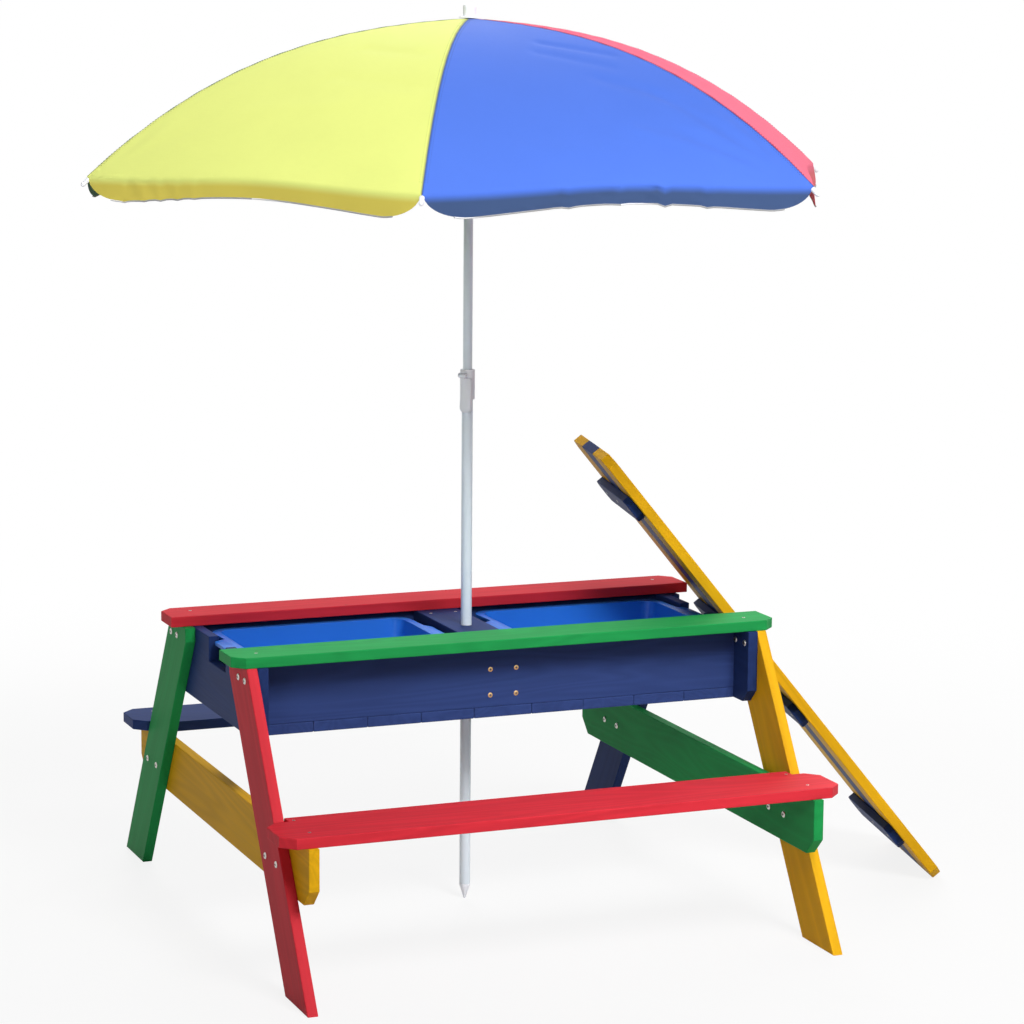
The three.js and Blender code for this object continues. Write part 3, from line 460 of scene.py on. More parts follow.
def settle(piece):
    """Puts a piece's place into its mesh."""
    select_only(piece)
    bpy.ops.object.transform_apply(location=True, rotation=True, scale=True)
    return piece


def block(name, size, centre):
    bpy.ops.object.select_all(action="DESELECT")
    bpy.ops.mesh.primitive_cube_add(size=1, location=centre, scale=size)
    return settle(named(name))


def rod(name, radius, bottom, top, steps, ends="NGON"):
    bpy.ops.object.select_all(action="DESELECT")
    bpy.ops.mesh.primitive_cylinder_add(
        vertices=steps, radius=radius, depth=top - bottom,
        end_fill_type=ends, location=(0, 0, (bottom + top) / 2))
    return settle(named(name))


def drawn(name, points, closed=True):
    """An outline drawn point by point by extruding one vertex, and filled if it is closed."""
    bpy.ops.object.select_all(action="DESELECT")
    bpy.ops.mesh.primitive_plane_add(size=MM, location=(0, 0, 0))
    piece = named(name)
    with Editing(piece, "VERT") as edit:
        edit.pick_all()
        bpy.ops.mesh.merge(type="CENTER")
        edit.pick_all()
        bpy.ops.transform.translate(value=tuple(points[0]))
        for here, there in zip(points, points[1:]):
            edit.draw_out(Vector(there) - Vector(here))
        if closed:
            edit.pick_all()
            bpy.ops.mesh.edge_face_add()
    return piece


def spun(name, profile, steps):
    """A (radius, height) profile turned once about Z and closed."""
    piece = drawn(name, [(r, 0, z) for r, z in profile], closed=False)
    with Editing(piece, "VERT") as edit:
        edit.pick_all()
        bpy.ops.mesh.spin(steps=steps, angle=math.tau, center=(0, 0, 0), axis=(0, 0, 1))
        edit.pick_all()
        bpy.ops.mesh.remove_doubles(threshold=0.01 * MM)
        edit.pick_all()
        bpy.ops.mesh.normals_make_consistent(inside=False)
    return piece


def slab_of(name, points, thickness, middle=0.0):
    """An outline in the X-Z plane given a thickness along Y, centred on middle."""
    piece = drawn(name, [(x, middle - thickness / 2, z) for x, z in points])
    with Editing(piece) as edit:
        edit.pick_all()
        edit.draw_out((0, thickness, 0))
        edit.pick_all()
        bpy.ops.mesh.normals_make_consistent(inside=False)
    return piece


def change(piece, kind, **values):
    """Adds a modifier and applies it."""
    select_only(piece)
    bpy.ops.object.modifier_add(type=kind)
    modifier = piece.modifiers[-1]
    for name, value in values.items():
        setattr(modifier, name, value)
    bpy.ops.object.modifier_apply(modifier=modifier.name)


def combine(piece, *others, operation="DIFFERENCE"):
    """Cuts, joins or intersects a piece with the others, and removes them."""
    for other in others:
        change(piece, "BOOLEAN", operation=operation, object=other, solver="EXACT")
        bpy.data.objects.remove(other)


def soften(piece, width, steps=2, angle=35):
    """Rounds the edges that are sharper than an angle, and smooths the shading between them."""
    change(piece, "BEVEL", width=width, segments=steps, limit_method="ANGLE",
           angle_limit=math.radians(angle), harden_normals=False)
    return smooth(piece, angle)


def smooth(piece, angle):
    select_only(piece)
    bpy.ops.object.shade_smooth_by_angle(angle=math.radians(angle))
    return piece


def linked(name, data):
    """A new object in the scene."""
    piece = bpy.data.objects.new(name, data)
    bpy.context.scene.collection.objects.link(piece)
    return piece


def moved(piece, name, place):
    """A copy with its own mesh."""
    twin = piece.copy()
    twin.data = piece.data.copy()
    twin.name = name
    twin.data.name = name
    twin.data.transform(place)
    bpy.context.scene.collection.objects.link(twin)
    return twin


def about_axis(turn):
    """The rotation about the parasol's axis."""
    return Matrix.Rotation(turn, 4, "Z")


def mm(points, level=0.0):
    """(across, height) points given in millimetres, with their heights above a level."""
    return [(across * MM, level + height * MM) for across, height in points]


def arc(centre, radius, start, end, steps):
    """Points of an arc in a plane, angles in degrees."""
    turns = [math.radians(start + (end - start) * i / steps) for i in range(steps + 1)]
    return [(centre[0] + radius * math.cos(turn), centre[1] + radius * math.sin(turn))
            for turn in turns]


def cross_rod(name, radius, half, steps, at=(0, 0, 0)):
    """A rod along Y, as a pin or as the cutter of a bore."""
    piece = rod(name, radius, -half, half, steps)
    piece.data.transform(Matrix.Translation(at) @ Matrix.Rotation(math.pi / 2, 4, "X"))
    return piece


def wear(piece, material):
    piece.data.materials.clear()
    piece.data.materials.append(material)
    return piece


def fit(piece, material, node, body):
    """Dresses a piece, puts it in a node's stead and on the body it moves with."""
    wear(piece, material)
    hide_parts(node)
    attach(piece, body)


# ---------------------------------------------------------------- the table


# The boards of each colour and run of the grain
BOARDS = {
    ("green", "length"): ["rail_front"],
    ("red", "length"): ["rail_back", "bench_front"],
    ("slate", "length"): ["bench_back", "long_panel_front", "long_panel_back"],
    ("red", "front leg"): ["leg_front_left"],
    ("yellow", "front leg"): ["leg_front_right"],
    ("green", "back leg"): ["leg_back_left"],
    ("navy", "back leg"): ["leg_back_right"],
    ("yellow", "depth"): ["cross_member_left"],
    ("green", "depth"): ["cross_member_right"],
    ("navy", "depth"): ["end_panel_left", "end_panel_right", "divider_left", "divider_right",
                        "centre_plank"],
    ("slate", "depth"): [f"slat_{i}" for i in range(1, 10)],
    ("yellow", "lid length"): ["lid_plank_front", "lid_plank_back"],
    ("navy", "lid length"): ["lid_plank_middle"],
    ("navy", "lid depth"): [f"lid_batten_{i}" for i in range(1, 5)],
}

# Knots and dents seen on the rails, as a place and a radius
BOARD_SPOTS = {
    ("green", "length"): [
        ((-0.4355, -0.1751, 0.51), 4.5 * MM), ((-0.1619, -0.1523, 0.51), 1.1 * MM),
        ((-0.1698, -0.1494, 0.51), 1.1 * MM), ((0.212, -0.187, 0.51), 1.6 * MM)],
    ("red", "length"): [((-0.1698, 0.1482, 0.51), 3.2 * MM)],
}

GRAIN = {
    "length": ALONG_X,
    "depth": ALONG_Y,
    "front leg": Vector((0, -309, -492)).normalized(),
    "back leg": Vector((0, 309, -492)).normalized(),
    "lid length": LID_PLACE.to_3x3() @ ALONG_X,
    "lid depth": LID_PLACE.to_3x3() @ ALONG_Y,
}


class PaintBoards(bpy.types.Operator):
    """Paints every board of the table, with its grain along the board"""

    bl_idname = "picnic.paint_boards"
    bl_label = "Paint Boards"

    def execute(self, context):
        paint = context.scene.picnic_paint
        for (colour, run), nodes in BOARDS.items():
            coat = painted_wood(f"paint_{colour}_{run.replace(' ', '_')}", getattr(paint, colour),
                                GRAIN[run], BOARD_SPOTS.get((colour, run), ()))
            for node in nodes:
                wear(frame["nodes"][node], coat)
        return {"FINISHED"}


class MouldTubs(bpy.types.Operator):
    """Moulds the two play tubs with their rims and handle lips"""

    bl_idname = "picnic.mould_tubs"
    bl_label = "Mould Tubs"

    INNER_END = 62 * MM
    OUTER_END = 425 * MM
    HALF_WIDTH = 138.5 * MM
    HEIGHT = 101 * MM
    RIM_DROP = 6 * MM
    LIP_HALF = 42 * MM
    OUTER_LIP = 19 * MM
    INNER_LIP = 12 * MM
    LIP_CORNER = 9 * MM
    FLOOR_EDGE = 7 * MM
    NEAR = 0.1 * MM

    def shell(self, tub):
        """The open shell that the wall's thickness is added to."""
        top = BOX_FLOOR + self.HEIGHT - tub.wall
        centre = (self.INNER_END + self.OUTER_END) / 2
        rim_long = (self.OUTER_END - self.INNER_END) / 2 - tub.wall
        rim_wide = self.HALF_WIDTH - tub.wall
        long, wide = rim_long - tub.rim + tub.wall, rim_wide - tub.rim + tub.wall
        size = (2 * long, 2 * wide, top - BOX_FLOOR)
        piece = block("tub_right_moulded", size, (centre, 0, (top + BOX_FLOOR) / 2))
        floor_at = (centre, 0, BOX_FLOOR)
        with Editing(piece) as edit:
            edit.pick(lambda f: f.normal.z > 0.9)
            bpy.ops.mesh.delete(type="ONLY_FACE")
            edit.pick(lambda f: f.normal.z < -0.9)
            edit.resize((1 - tub.taper / long, 1 - tub.taper / wide, 1), floor_at)
            edit.pick(lambda e: abs(e.verts[0].co.z - e.verts[1].co.z) > self.HEIGHT / 2, "EDGE")
            edit.bevel(tub.corner, 10)
            edit.pick(lambda e: max(v.co.z for v in e.verts) < BOX_FLOOR + self.NEAR)
            edit.bevel(self.FLOOR_EDGE, 4)
            edit.pick(lambda e: e.is_boundary)
            edit.draw_out((0, 0, 0))
            edit.resize((rim_long / long, rim_wide / wide, 1), (centre, 0, top))
            for edge_y in (-self.LIP_HALF, self.LIP_HALF):
                edit.pick_all()
                bpy.ops.mesh.bisect(plane_co=(centre, edge_y, top), plane_no=(0, 1, 0))
            for end, reach in ((1, self.OUTER_LIP), (-1, -self.INNER_LIP)):
                edit.pick(lambda e: e.is_boundary and self.at_end(e, centre, end * rim_long))
                edit.draw_out((reach, 0, 0))
            edit.pick(lambda e: e.is_boundary)
            edit.draw_out((0, 0, -self.RIM_DROP + tub.wall))
            reaches = (centre + rim_long + self.OUTER_LIP, centre - rim_long - self.INNER_LIP)
            edit.pick(lambda e: self.at_lip_corner(e, reaches))
            edit.bevel(self.LIP_CORNER, 4)
        return piece

    def at_end(self, edge, centre, away):
        return all(
            abs(v.co.x - centre - away) < self.NEAR and abs(v.co.y) < self.LIP_HALF + self.NEAR
            for v in edge.verts)

    def at_lip_corner(self, edge, reaches):
        upright = abs(edge.verts[0].co.z - edge.verts[1].co.z) > MM
        return upright and all(
            abs(abs(v.co.y) - self.LIP_HALF) < self.NEAR
            and min(abs(v.co.x - reach) for reach in reaches) < self.NEAR
            for v in edge.verts)

    def execute(self, context):
        tub = context.scene.picnic_tub
        right = self.shell(tub)
        change(right, "SOLIDIFY", thickness=tub.wall, offset=-1, use_even_offset=True)
        soften(right, 0.8 * MM, 2, 40)
        left = moved(right, "tub_left_moulded", about_axis(math.pi))
        plastic = moulded_plastic("tub_plastic", tub.colour, 0.26, 0.1)
        for piece, node in ((right, "tub_right"), (left, "tub_left")):
            fit(piece, plastic, node, node)
        return {"FINISHED"}


LEG_BOLTS = ((0.181, 0.4705), (0.216, 0.4705), (0.322, 0.2055), (0.3785, 0.2055))
RAIL_SCREW = (0.442, 0.191)
BENCH_SCREWS = ((0.438, 0.374), (0.438, 0.453))
DIVIDER_COLUMNS = (-0.0235, 0.0235)
PANEL_SCREWS = [(x, z) for z in (0.449, 0.4045) for x in DIVIDER_COLUMNS]
PLANK_SCREW_Y = 0.113
BATTEN_ROWS = (-0.888, -0.594, -0.402, -0.108)
BATTEN_COLUMNS = (0.046, 0.140, 0.233)
BATTEN_FACE = BOARD + 14.3 * MM


def screw_places():
    """Name, body, place, outward direction and kind of each screw."""
    rows = []

    def drive(name, x, y, z, out=UP, kind="screw"):
        rows.append((name, "table", Vector((x, y, z)), Vector(out), kind))

    for sign_x, end in ((-1, "left"), (1, "right")):
        for sign_y, side in ((-1, "front"), (1, "back")):
            for number, (y, z) in enumerate(LEG_BOLTS, 1):
                name = f"leg_{side}_{end}_{number}"
                for label, face, out in (("bolt", LEG_OUTER_FACE, 1), ("nut", BOX_END, -1)):
                    drive(f"{label}_{name}", sign_x * face, sign_y * y, z,
                          (out * sign_x, 0, 0), "bolt")
            rail_x, rail_y = RAIL_SCREW
            drive(f"screw_rail_{side}_{end}", sign_x * rail_x, sign_y * rail_y, RAIL_TOP)
            for number, (x, y) in enumerate(BENCH_SCREWS, 1):
                drive(f"screw_bench_{side}_{end}_{number}", sign_x * x, sign_y * y, BENCH_TOP)
    for sign_y, side in ((-1, "front"), (1, "back")):
        for number, (x, z) in enumerate(PANEL_SCREWS, 1):
            drive(f"screw_panel_{side}_{number}", x, sign_y * LONG_PANEL_FACE, z,
                  (0, sign_y, 0), "brass")
        for number, x in enumerate(DIVIDER_COLUMNS, 1):
            drive(f"screw_plank_{side}_{number}", x, sign_y * PLANK_SCREW_Y, PLANK_TOP)
    under = LID_PLACE.to_3x3() @ -UP
    for batten, x in enumerate(BATTEN_ROWS, 1):
        for number, y in enumerate(BATTEN_COLUMNS, 1):
            rows.append((f"screw_batten_{batten}_{number}", "lid",
                         LID_PLACE @ Vector((x, y, -BATTEN_FACE)), under, "screw"))
    return rows


class DriveScrews(bpy.types.Operator):
    """Drives the cross-head screws and the leg bolts"""

    bl_idname = "picnic.drive_screws"
    bl_label = "Drive Screws"

    def cross_head(self, name, radius, height, recess, metal, recess_shade):
        """A domed head with a cross recess, its seat on Z zero; the recess faces get a near-black
        material as painted shade.
        """
        rim = height * 0.35
        sunk = -1.2 * MM
        head = spun(name, [
            (0, sunk), (radius * 0.6, sunk), (radius, 0), (radius, rim),
            (radius * 0.82, height * 0.85), (radius * 0.45, height), (0, height)], 24)
        width, depth = 0.62 * recess, 2 * min(height + 0.9 * MM, 0.75 * recess)
        bars = [block("bar", (*size, depth), (0, 0, height))
                for size in ((2 * recess, width), (width, 2 * recess))]
        for bar in bars:
            with Editing(bar) as edit:
                edit.pick(lambda f: f.normal.z < -0.9)
                edit.resize((0.55, 0.55, 1), (0, 0, 0))
        for piece in (head, *bars):
            piece.data.materials.append(metal)
            piece.data.materials.append(recess_shade)
            # The faces cut by the bars take the second slot: near-black, painted shade inside the
            # recess.
            for face in piece.data.polygons:
                face.material_index = int(piece is not head)
        combine(head, *bars)
        return smooth(head, 30)

    def execute(self, context):
        zinc = plated_metal("zinc_plating", (0.60, 0.58, 0.54), 0.30)
        brass = plated_metal("yellow_plating", (0.62, 0.42, 0.20), 0.32)
        # Near-black metal painted into the cross recesses as their shade.
        recess_shade = plated_metal("recess_grime", (0.07, 0.06, 0.05), 0.55)
        heads = {
            kind: self.cross_head(f"{kind}_model", *(size * MM for size in sizes), metal, recess_shade)
            for kind, sizes, metal in (("screw", (2.8, 0.4, 1.7), zinc),
                                       ("brass", (4.2, 0.7, 2.6), brass),
                                       ("bolt", (5.6, 2.2, 3.9), zinc))}
        for name, body, at, out, kind in screw_places():
            turn = UP.rotation_difference(out).to_matrix().to_4x4()
            head = moved(heads[kind], name, Matrix.Translation(at) @ turn)
            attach(head, body)
        for head in heads.values():
            bpy.data.objects.remove(head)
        return {"FINISHED"}


# ---------------------------------------------------------------- the pole


class RaisePole(bpy.types.Operator):
    """Makes the two steel tubes and the spike"""

    bl_idname = "picnic.raise_pole"
    bl_label = "Raise Pole"

    def tube(self, name, radius, bottom, top):
        piece = rod(name, radius * MM, bottom * MM, top * MM, 64, "NOTHING")
        change(piece, "SOLIDIFY", thickness=1.2 * MM, offset=-1)
        return soften(piece, 0.25 * MM)

    def execute(self, context):
        coat = coated_steel("pole_coat", (0.74, 0.82, 0.89), 0.30)
        lower = self.tube("pole_lower_tube", 9.5, 27, 931.2)
        upper = self.tube("pole_upper_tube", 8, 778.5, 1524.7)
        fit(lower, coat, "pole_lower", "mast")
        fit(upper, coat, "pole_upper", "upper_mast")
        plastic = moulded_plastic("fitting_plastic", (0.88, 0.90, 0.96), 0.34)
        spike = spun("pole_spike_moulded", mm([
            (0, 0), (1.7, 0), (2.1, 0.5), (9, 23), (9.5, 24.2), (9.5, 26.7), (8, 26.7), (8, 57),
            (0, 57)]), 40)
        fit(smooth(spike, 30), plastic, "pole_spike", "mast")
        return {"FINISHED"}


class FitClamp(bpy.types.Operator):
    """Fits the clamp collar and its lever"""

    bl_idname = "picnic.fit_clamp"
    bl_label = "Fit Clamp"

    def collar(self):
        body = spun("clamp_collar_moulded", mm([
            (9.8, -51.5), (12.2, -51.5), (12.65, -50.9), (12.65, -1), (12, 0), (8.3, 0),
            (8.3, -7), (9.8, -7), (9.8, -51.5)], CLAMP_TOP), 56)
        ear = mm([(11, -4.2), *arc((14.6, 0), 4.2, -90, 90, 8), (11, 4.2)], LEVER_PIVOT.z)
        ears = [soften(slab_of("ear", ear, 2.4 * MM, side * 6.1 * MM), 0.4 * MM)
                for side in (-1, 1)]
        pocket = block("pocket", Vector((25.3, 9.8, 8.4)) * MM, (23.05 * MM, 0, LEVER_PIVOT.z))
        slit = block("slit", Vector((25.3, 2.4, 25)) * MM, (20.65 * MM, 0, CLAMP_TOP - 7.5 * MM))
        slit.data.transform(about_axis(-PANEL_STEP))
        combine(body, pocket, slit)
        combine(body, *ears, operation="UNION")
        combine(body, cross_rod("bore", 1.5 * MM, 8 * MM, 20, LEVER_PIVOT))
        return smooth(body, 30)

    def lever(self):
        """A neck between the ears, and a grip that wraps the collar's front."""
        level = LEVER_PIVOT.z
        neck = slab_of("clamp_lever_moulded", mm([
            (13.2, -9), (15.4, -9), (16.2, -3.4), *arc((14.6, 0), 3.8, -50, 245, 16)],
            level), 9 * MM)
        grip = slab_of("grip", mm([
            (-4.5, -5.4), *arc((3.5, -56), 8, 180, 270, 8), *arc((7.2, -58), 6, 270, 360, 6),
            *arc((10.2, -8.4), 3, 0, 90, 4)], level), 15 * MM, -12.5 * MM)
        grip.data.transform(about_axis(math.pi / 2))
        wall = spun("wall", mm([
            (13.2, -4.4), (15.7, -4.4), (15.9, -30), (16.3, -44), (17, -54), (16.2, -61),
            (14.6, -65), (13.2, -65), (13.2, -4.4)], level), 72)
        combine(grip, wall, operation="INTERSECT")
        combine(neck, grip, operation="UNION")
        combine(neck, cross_rod("bore", 1.7 * MM, 6 * MM, 20, LEVER_PIVOT))
        return soften(neck, 0.45 * MM, 2, 50)

    def execute(self, context):
        plastic = bpy.data.materials["fitting_plastic"]
        collar, lever = self.collar(), self.lever()
        pin = soften(cross_rod("clamp_pin_made", 1.45 * MM, 7.9 * MM, 20, LEVER_PIVOT), 0.25 * MM)
        for piece in (collar, lever, pin):
            piece.data.transform(about_axis(LEVER_TURN))
        fit(collar, plastic, "clamp_collar", "mast")
        fit(lever, plastic, "clamp_lever", "lever")
        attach(wear(pin, bpy.data.materials["zinc_plating"]), "mast")
        return {"FINISHED"}


# ---------------------------------------------------------------- the folding frame


def cloth_height(radius):
    share = radius / CANOPY_RADIUS
    bow = BOW_LINEAR_SHARE * share + (1 - BOW_LINEAR_SHARE) * share ** BOW_POWER
    return CANOPY_TOP - CANOPY_DROP * bow


def cloth_slope(radius):
    share = radius / CANOPY_RADIUS
    rise = BOW_LINEAR_SHARE + (1 - BOW_LINEAR_SHARE) * BOW_POWER * share ** (BOW_POWER - 1)
    return -CANOPY_DROP * rise / CANOPY_RADIUS


def under_cloth(radius, depth):
    """The point a depth under the cloth, square to it, as (radius, height)."""
    slope = cloth_slope(radius)
    length = math.hypot(1, slope)
    return radius + depth * slope / length, cloth_height(radius) - depth / length


def rib_turn(number):
    return CANOPY_TURN + (number - 1) * PANEL_STEP


class TurnHubs(bpy.types.Operator):
    """Turns the crown with its finial and the runner, with a slot and a pin for each arm"""

    bl_idname = "picnic.turn_hubs"
    bl_label = "Turn Crown and Runner"

    def slotted(self, body, pivot, width, inner, low, high):
        """Cuts a slot for each arm and sets its pin across it."""
        slots, pins = [], []
        for number in range(1, PANELS + 1):
            turn = about_axis(rib_turn(number))
            slots.append(block("slot", (17 * MM, width, high - low),
                               (inner + 8.5 * MM, pivot.y, (low + high) / 2)))
            pins.append(cross_rod("pin", 1.2 * MM, width / 2 + 1.6 * MM, 12, pivot))
            for piece in (slots[-1], pins[-1]):
                piece.data.transform(turn)
        combine(body, *slots)
        combine(body, *pins, operation="UNION")
        return smooth(body, 30)

    def crown(self):
        body = spun("crown_moulded", mm([
            (0, -9.5), (8.3, -9.5), (8.3, -24.5), (16.4, -24.5), (17, -23.9), (17, -4.6),
            (16.4, -4), (8, -4), (8, 0.3), (17.6, 0.3), (18, 0.8), (17.4, 2.2), (13.4, 3.5),
            (11.25, 4.3), (11.25, 19), *arc((6.25, 18.5), 5, 15, 90, 6), (0, 23.5)],
            CANOPY_TOP), 56)
        return self.slotted(body, RIB_PIVOT, width=4.8 * MM, inner=9.9 * MM,
                            low=CANOPY_TOP - 29.5 * MM, high=CANOPY_TOP - 5.6 * MM)

    def runner(self):
        level = RUNNER_PIVOT.z
        body = spun("runner_moulded", mm([
            (8.4, 7.5), (8.4, -27.5), (12.5, -27.5), (13, -26.9), (13, -23.1), (12.4, -22.5),
            (11, -21.9), (11, -8.1), (11.8, -7.5), (16.4, -7.5), (17, -6.9), (17, 6.9),
            (16.4, 7.5), (8.4, 7.5)], level), 56)
        return self.slotted(body, RUNNER_PIVOT + ALONG_Y * STRETCHER_SIDE, width=3.3 * MM,
                            inner=10.1 * MM, low=level - 3.4 * MM, high=level + 12.5 * MM)

    def execute(self, context):
        plastic = bpy.data.materials["fitting_plastic"]
        fit(self.crown(), plastic, "crown", "upper_mast")
        fit(self.runner(), plastic, "runner", "runner")
        return {"FINISHED"}


class BendRibs(bpy.types.Operator):
    """Bends the six channel ribs with their end caps, and cuts the six stretchers"""

    bl_idname = "picnic.bend_ribs"
    bl_label = "Bend Ribs"

    START = 30 * MM
    STEPS = 22
    EYE = 3.2 * MM

    def line(self, depth, first=0, last=0):
        """Points under the cloth from near the hub to the rim, less some at either end."""
        return [under_cloth(self.START + (CANOPY_RADIUS - self.START) * i / self.STEPS, depth)
                for i in range(first, self.STEPS + 1 - last)]

    def rib(self):
        bar = slab_of("rib_model", [
            *reversed(self.line(RIB_DROP)),
            *arc((RIB_PIVOT.x, RIB_PIVOT.z), self.EYE, 90, 270, 10),
            *self.line(RIB_DROP + RIB_HEIGHT)], RIB_WIDTH)
        groove = slab_of("groove", [
            *reversed(self.line(RIB_DROP + MM, 1, 1)), *self.line(RIB_DROP + 7 * MM, 1, 1)],
            RIB_WIDTH - 1.8 * MM)
        combine(bar, groove, cross_rod("bore", 1.5 * MM, 4 * MM, 16, RIB_PIVOT))
        return smooth(bar, 30)

    def cap(self):
        """The white plastic cap on a rib's end, with a collar that holds the cloth's corner."""
        body = spun("cap_model", mm([
            (0, 1.3), (3.9, 1.3), (4.25, 1.7), (4.25, 3.9), (3.7, 4.5), (3.7, 14.3),
            *arc((0, 14.3), 3.7, 15, 75, 4), (0, 18)]), 28)
        stub = block("stub", (6 * MM, RIB_WIDTH, RIB_HEIGHT), (0, 0, 0))
        stub.data.transform(Matrix.Rotation(math.pi / 2, 4, "Y"))
        combine(body, stub, operation="UNION")
        x, z = under_cloth(CANOPY_RADIUS, RIB_DROP + RIB_HEIGHT / 2)
        lean = math.pi / 2 - math.atan(cloth_slope(CANOPY_RADIUS))
        body.data.transform(Matrix.Translation((x, 0, z)) @ Matrix.Rotation(lean, 4, "Y"))
        return smooth(body, 35)

    def stretcher(self):
        end_x, end_z = under_cloth(STRETCHER_REACH, RIB_DROP + RIB_HEIGHT / 2)
        run = Vector((end_x - RUNNER_PIVOT.x, 0, end_z - RUNNER_PIVOT.z))
        reach, eye = run.length, 3 * MM
        spread = math.degrees(math.asin(2.5 / 3))
        outline = [*arc((0, 0), eye, spread, 360 - spread, 14),
                   *arc((reach, 0), eye, 180 + spread, 540 - spread, 14)]
        strip = slab_of("stretcher_model", outline, 2.5 * MM)
        combine(strip, cross_rod("bore", 1.5 * MM, 4 * MM, 16))
        soften(strip, 0.35 * MM, 2, 40)
        rivet = spun("rivet", mm([(0, -0.6), (2.5, -0.6), (2.4, 0.3), (1.6, 0.85), (0, 1.05)]), 20)
        rivet.data.transform(
            Matrix.Translation((reach, 1.25 * MM, 0)) @ Matrix.Rotation(-math.pi / 2, 4, "X"))
        combine(strip, rivet, operation="UNION")
        strip.data.transform(
            Matrix.Translation(RUNNER_PIVOT + Vector((0, STRETCHER_SIDE, 0)))
            @ Matrix.Rotation(-math.atan2(run.z, run.x), 4, "Y"))
        return smooth(strip, 30)

    def execute(self, context):
        steel = coated_steel("frame_coat", (0.68, 0.69, 0.70), 0.34)
        plastic = bpy.data.materials["fitting_plastic"]
        models = [
            (wear(self.rib(), steel), "rib", "rib"),
            (wear(self.cap(), plastic), "rib_cap", "rib"),
            (wear(self.stretcher(), steel), "stretcher", "stretcher"),
        ]
        for number in range(1, PANELS + 1):
            for model, name, body in models:
                turn = about_axis(rib_turn(number))
                piece = moved(model, f"{name}_{number}_made", turn)
                if name == body:
                    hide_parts(f"{body}_{number}")
                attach(piece, f"{body}_{number}")
        for model, _, _ in models:
            bpy.data.objects.remove(model)
        return {"FINISHED"}


# ---------------------------------------------------------------- the canopy


PANEL_COLOURS = ("yellow", "blue", "green", "yellow", "blue", "red")
VALANCE_END = 38 * MM
VALANCE_MIDDLE = 31 * MM
VALANCE_TIP = 1.5 * MM
VALANCE_CUT_SHARE = 0.1
VALANCE_TIP_SHARE = 0.004
FOLD_RADIUS = 4 * MM
PATTERN_RIM = 750 * MM
PANEL_CHORD = 2 * CANOPY_RADIUS * math.sin(PANEL_STEP / 2)


def valance_depth(share):
    """How far the valance hangs at a share of the way from one corner to the next."""
    corner = min(share, 1 - share)
    if corner < VALANCE_CUT_SHARE:
        away = min(1, (VALANCE_CUT_SHARE - corner) / (VALANCE_CUT_SHARE - VALANCE_TIP_SHARE))
        return VALANCE_TIP + (VALANCE_END - VALANCE_TIP) * math.sqrt(1 - away ** 2)
    middle = (0.5 - corner) / (0.5 - VALANCE_CUT_SHARE)
    return VALANCE_MIDDLE + (VALANCE_END - VALANCE_MIDDLE) * middle ** 2


class Drape:
    """How one panel hangs: the flare of its valance at both ends, and its creases."""

    FLARE_REACH = 0.22

    def __init__(self, first_flare, second_flare, creases, phase):
        self.first_flare = first_flare * MM
        self.second_flare = second_flare * MM
        self.creases = creases
        self.phase = phase

    def flare(self, share):
        first = self.first_flare * math.exp(-share / self.FLARE_REACH)
        second = self.second_flare * math.exp(-(1 - share) / self.FLARE_REACH)
        slow, quick = share * 21 + self.phase, share * 47 + 2 * self.phase
        return first + second + (0.9 * math.sin(slow) + 0.5 * math.sin(quick)) * MM

    def lift(self, across, down):
        """Height of the creases at a place across from the middle and down from the crown."""
        height = 0.0
        for x0, y0, x1, y1, width, rise in self.creases:
            run_x, run_y = x1 - x0, y1 - y0
            length = run_x * run_x + run_y * run_y
            along = max(0.0, min(1.0, ((across - x0) * run_x + (down - y0) * run_y) / length))
            away = math.hypot(across - x0 - along * run_x, down - y0 - along * run_y)
            height += rise * math.exp(-(away / width) ** 2)
        return height


def fan(x0, y0, spread, reach, count, width, rise, start):
    """Creases that run out from one place, as where a corner is drawn tight."""
    creases = []
    for i in range(count):
        turn = start + spread * (i / (count - 1) - 0.5)
        far = reach * (0.75 + 0.25 * math.sin(2.3 * i + 1))
        creases.append((
            x0 + 0.25 * far * math.sin(turn), y0 - 0.25 * far * math.cos(turn),
            x0 + far * math.sin(turn), y0 - far * math.cos(turn), width, rise * (-1) ** i))
    return creases


def hem_dents(places, rise):
    """Short dents across the fold above the valance."""
    return [(x, 0.662, x + lean, 0.706, 0.0048, -rise) for x, lean in places]


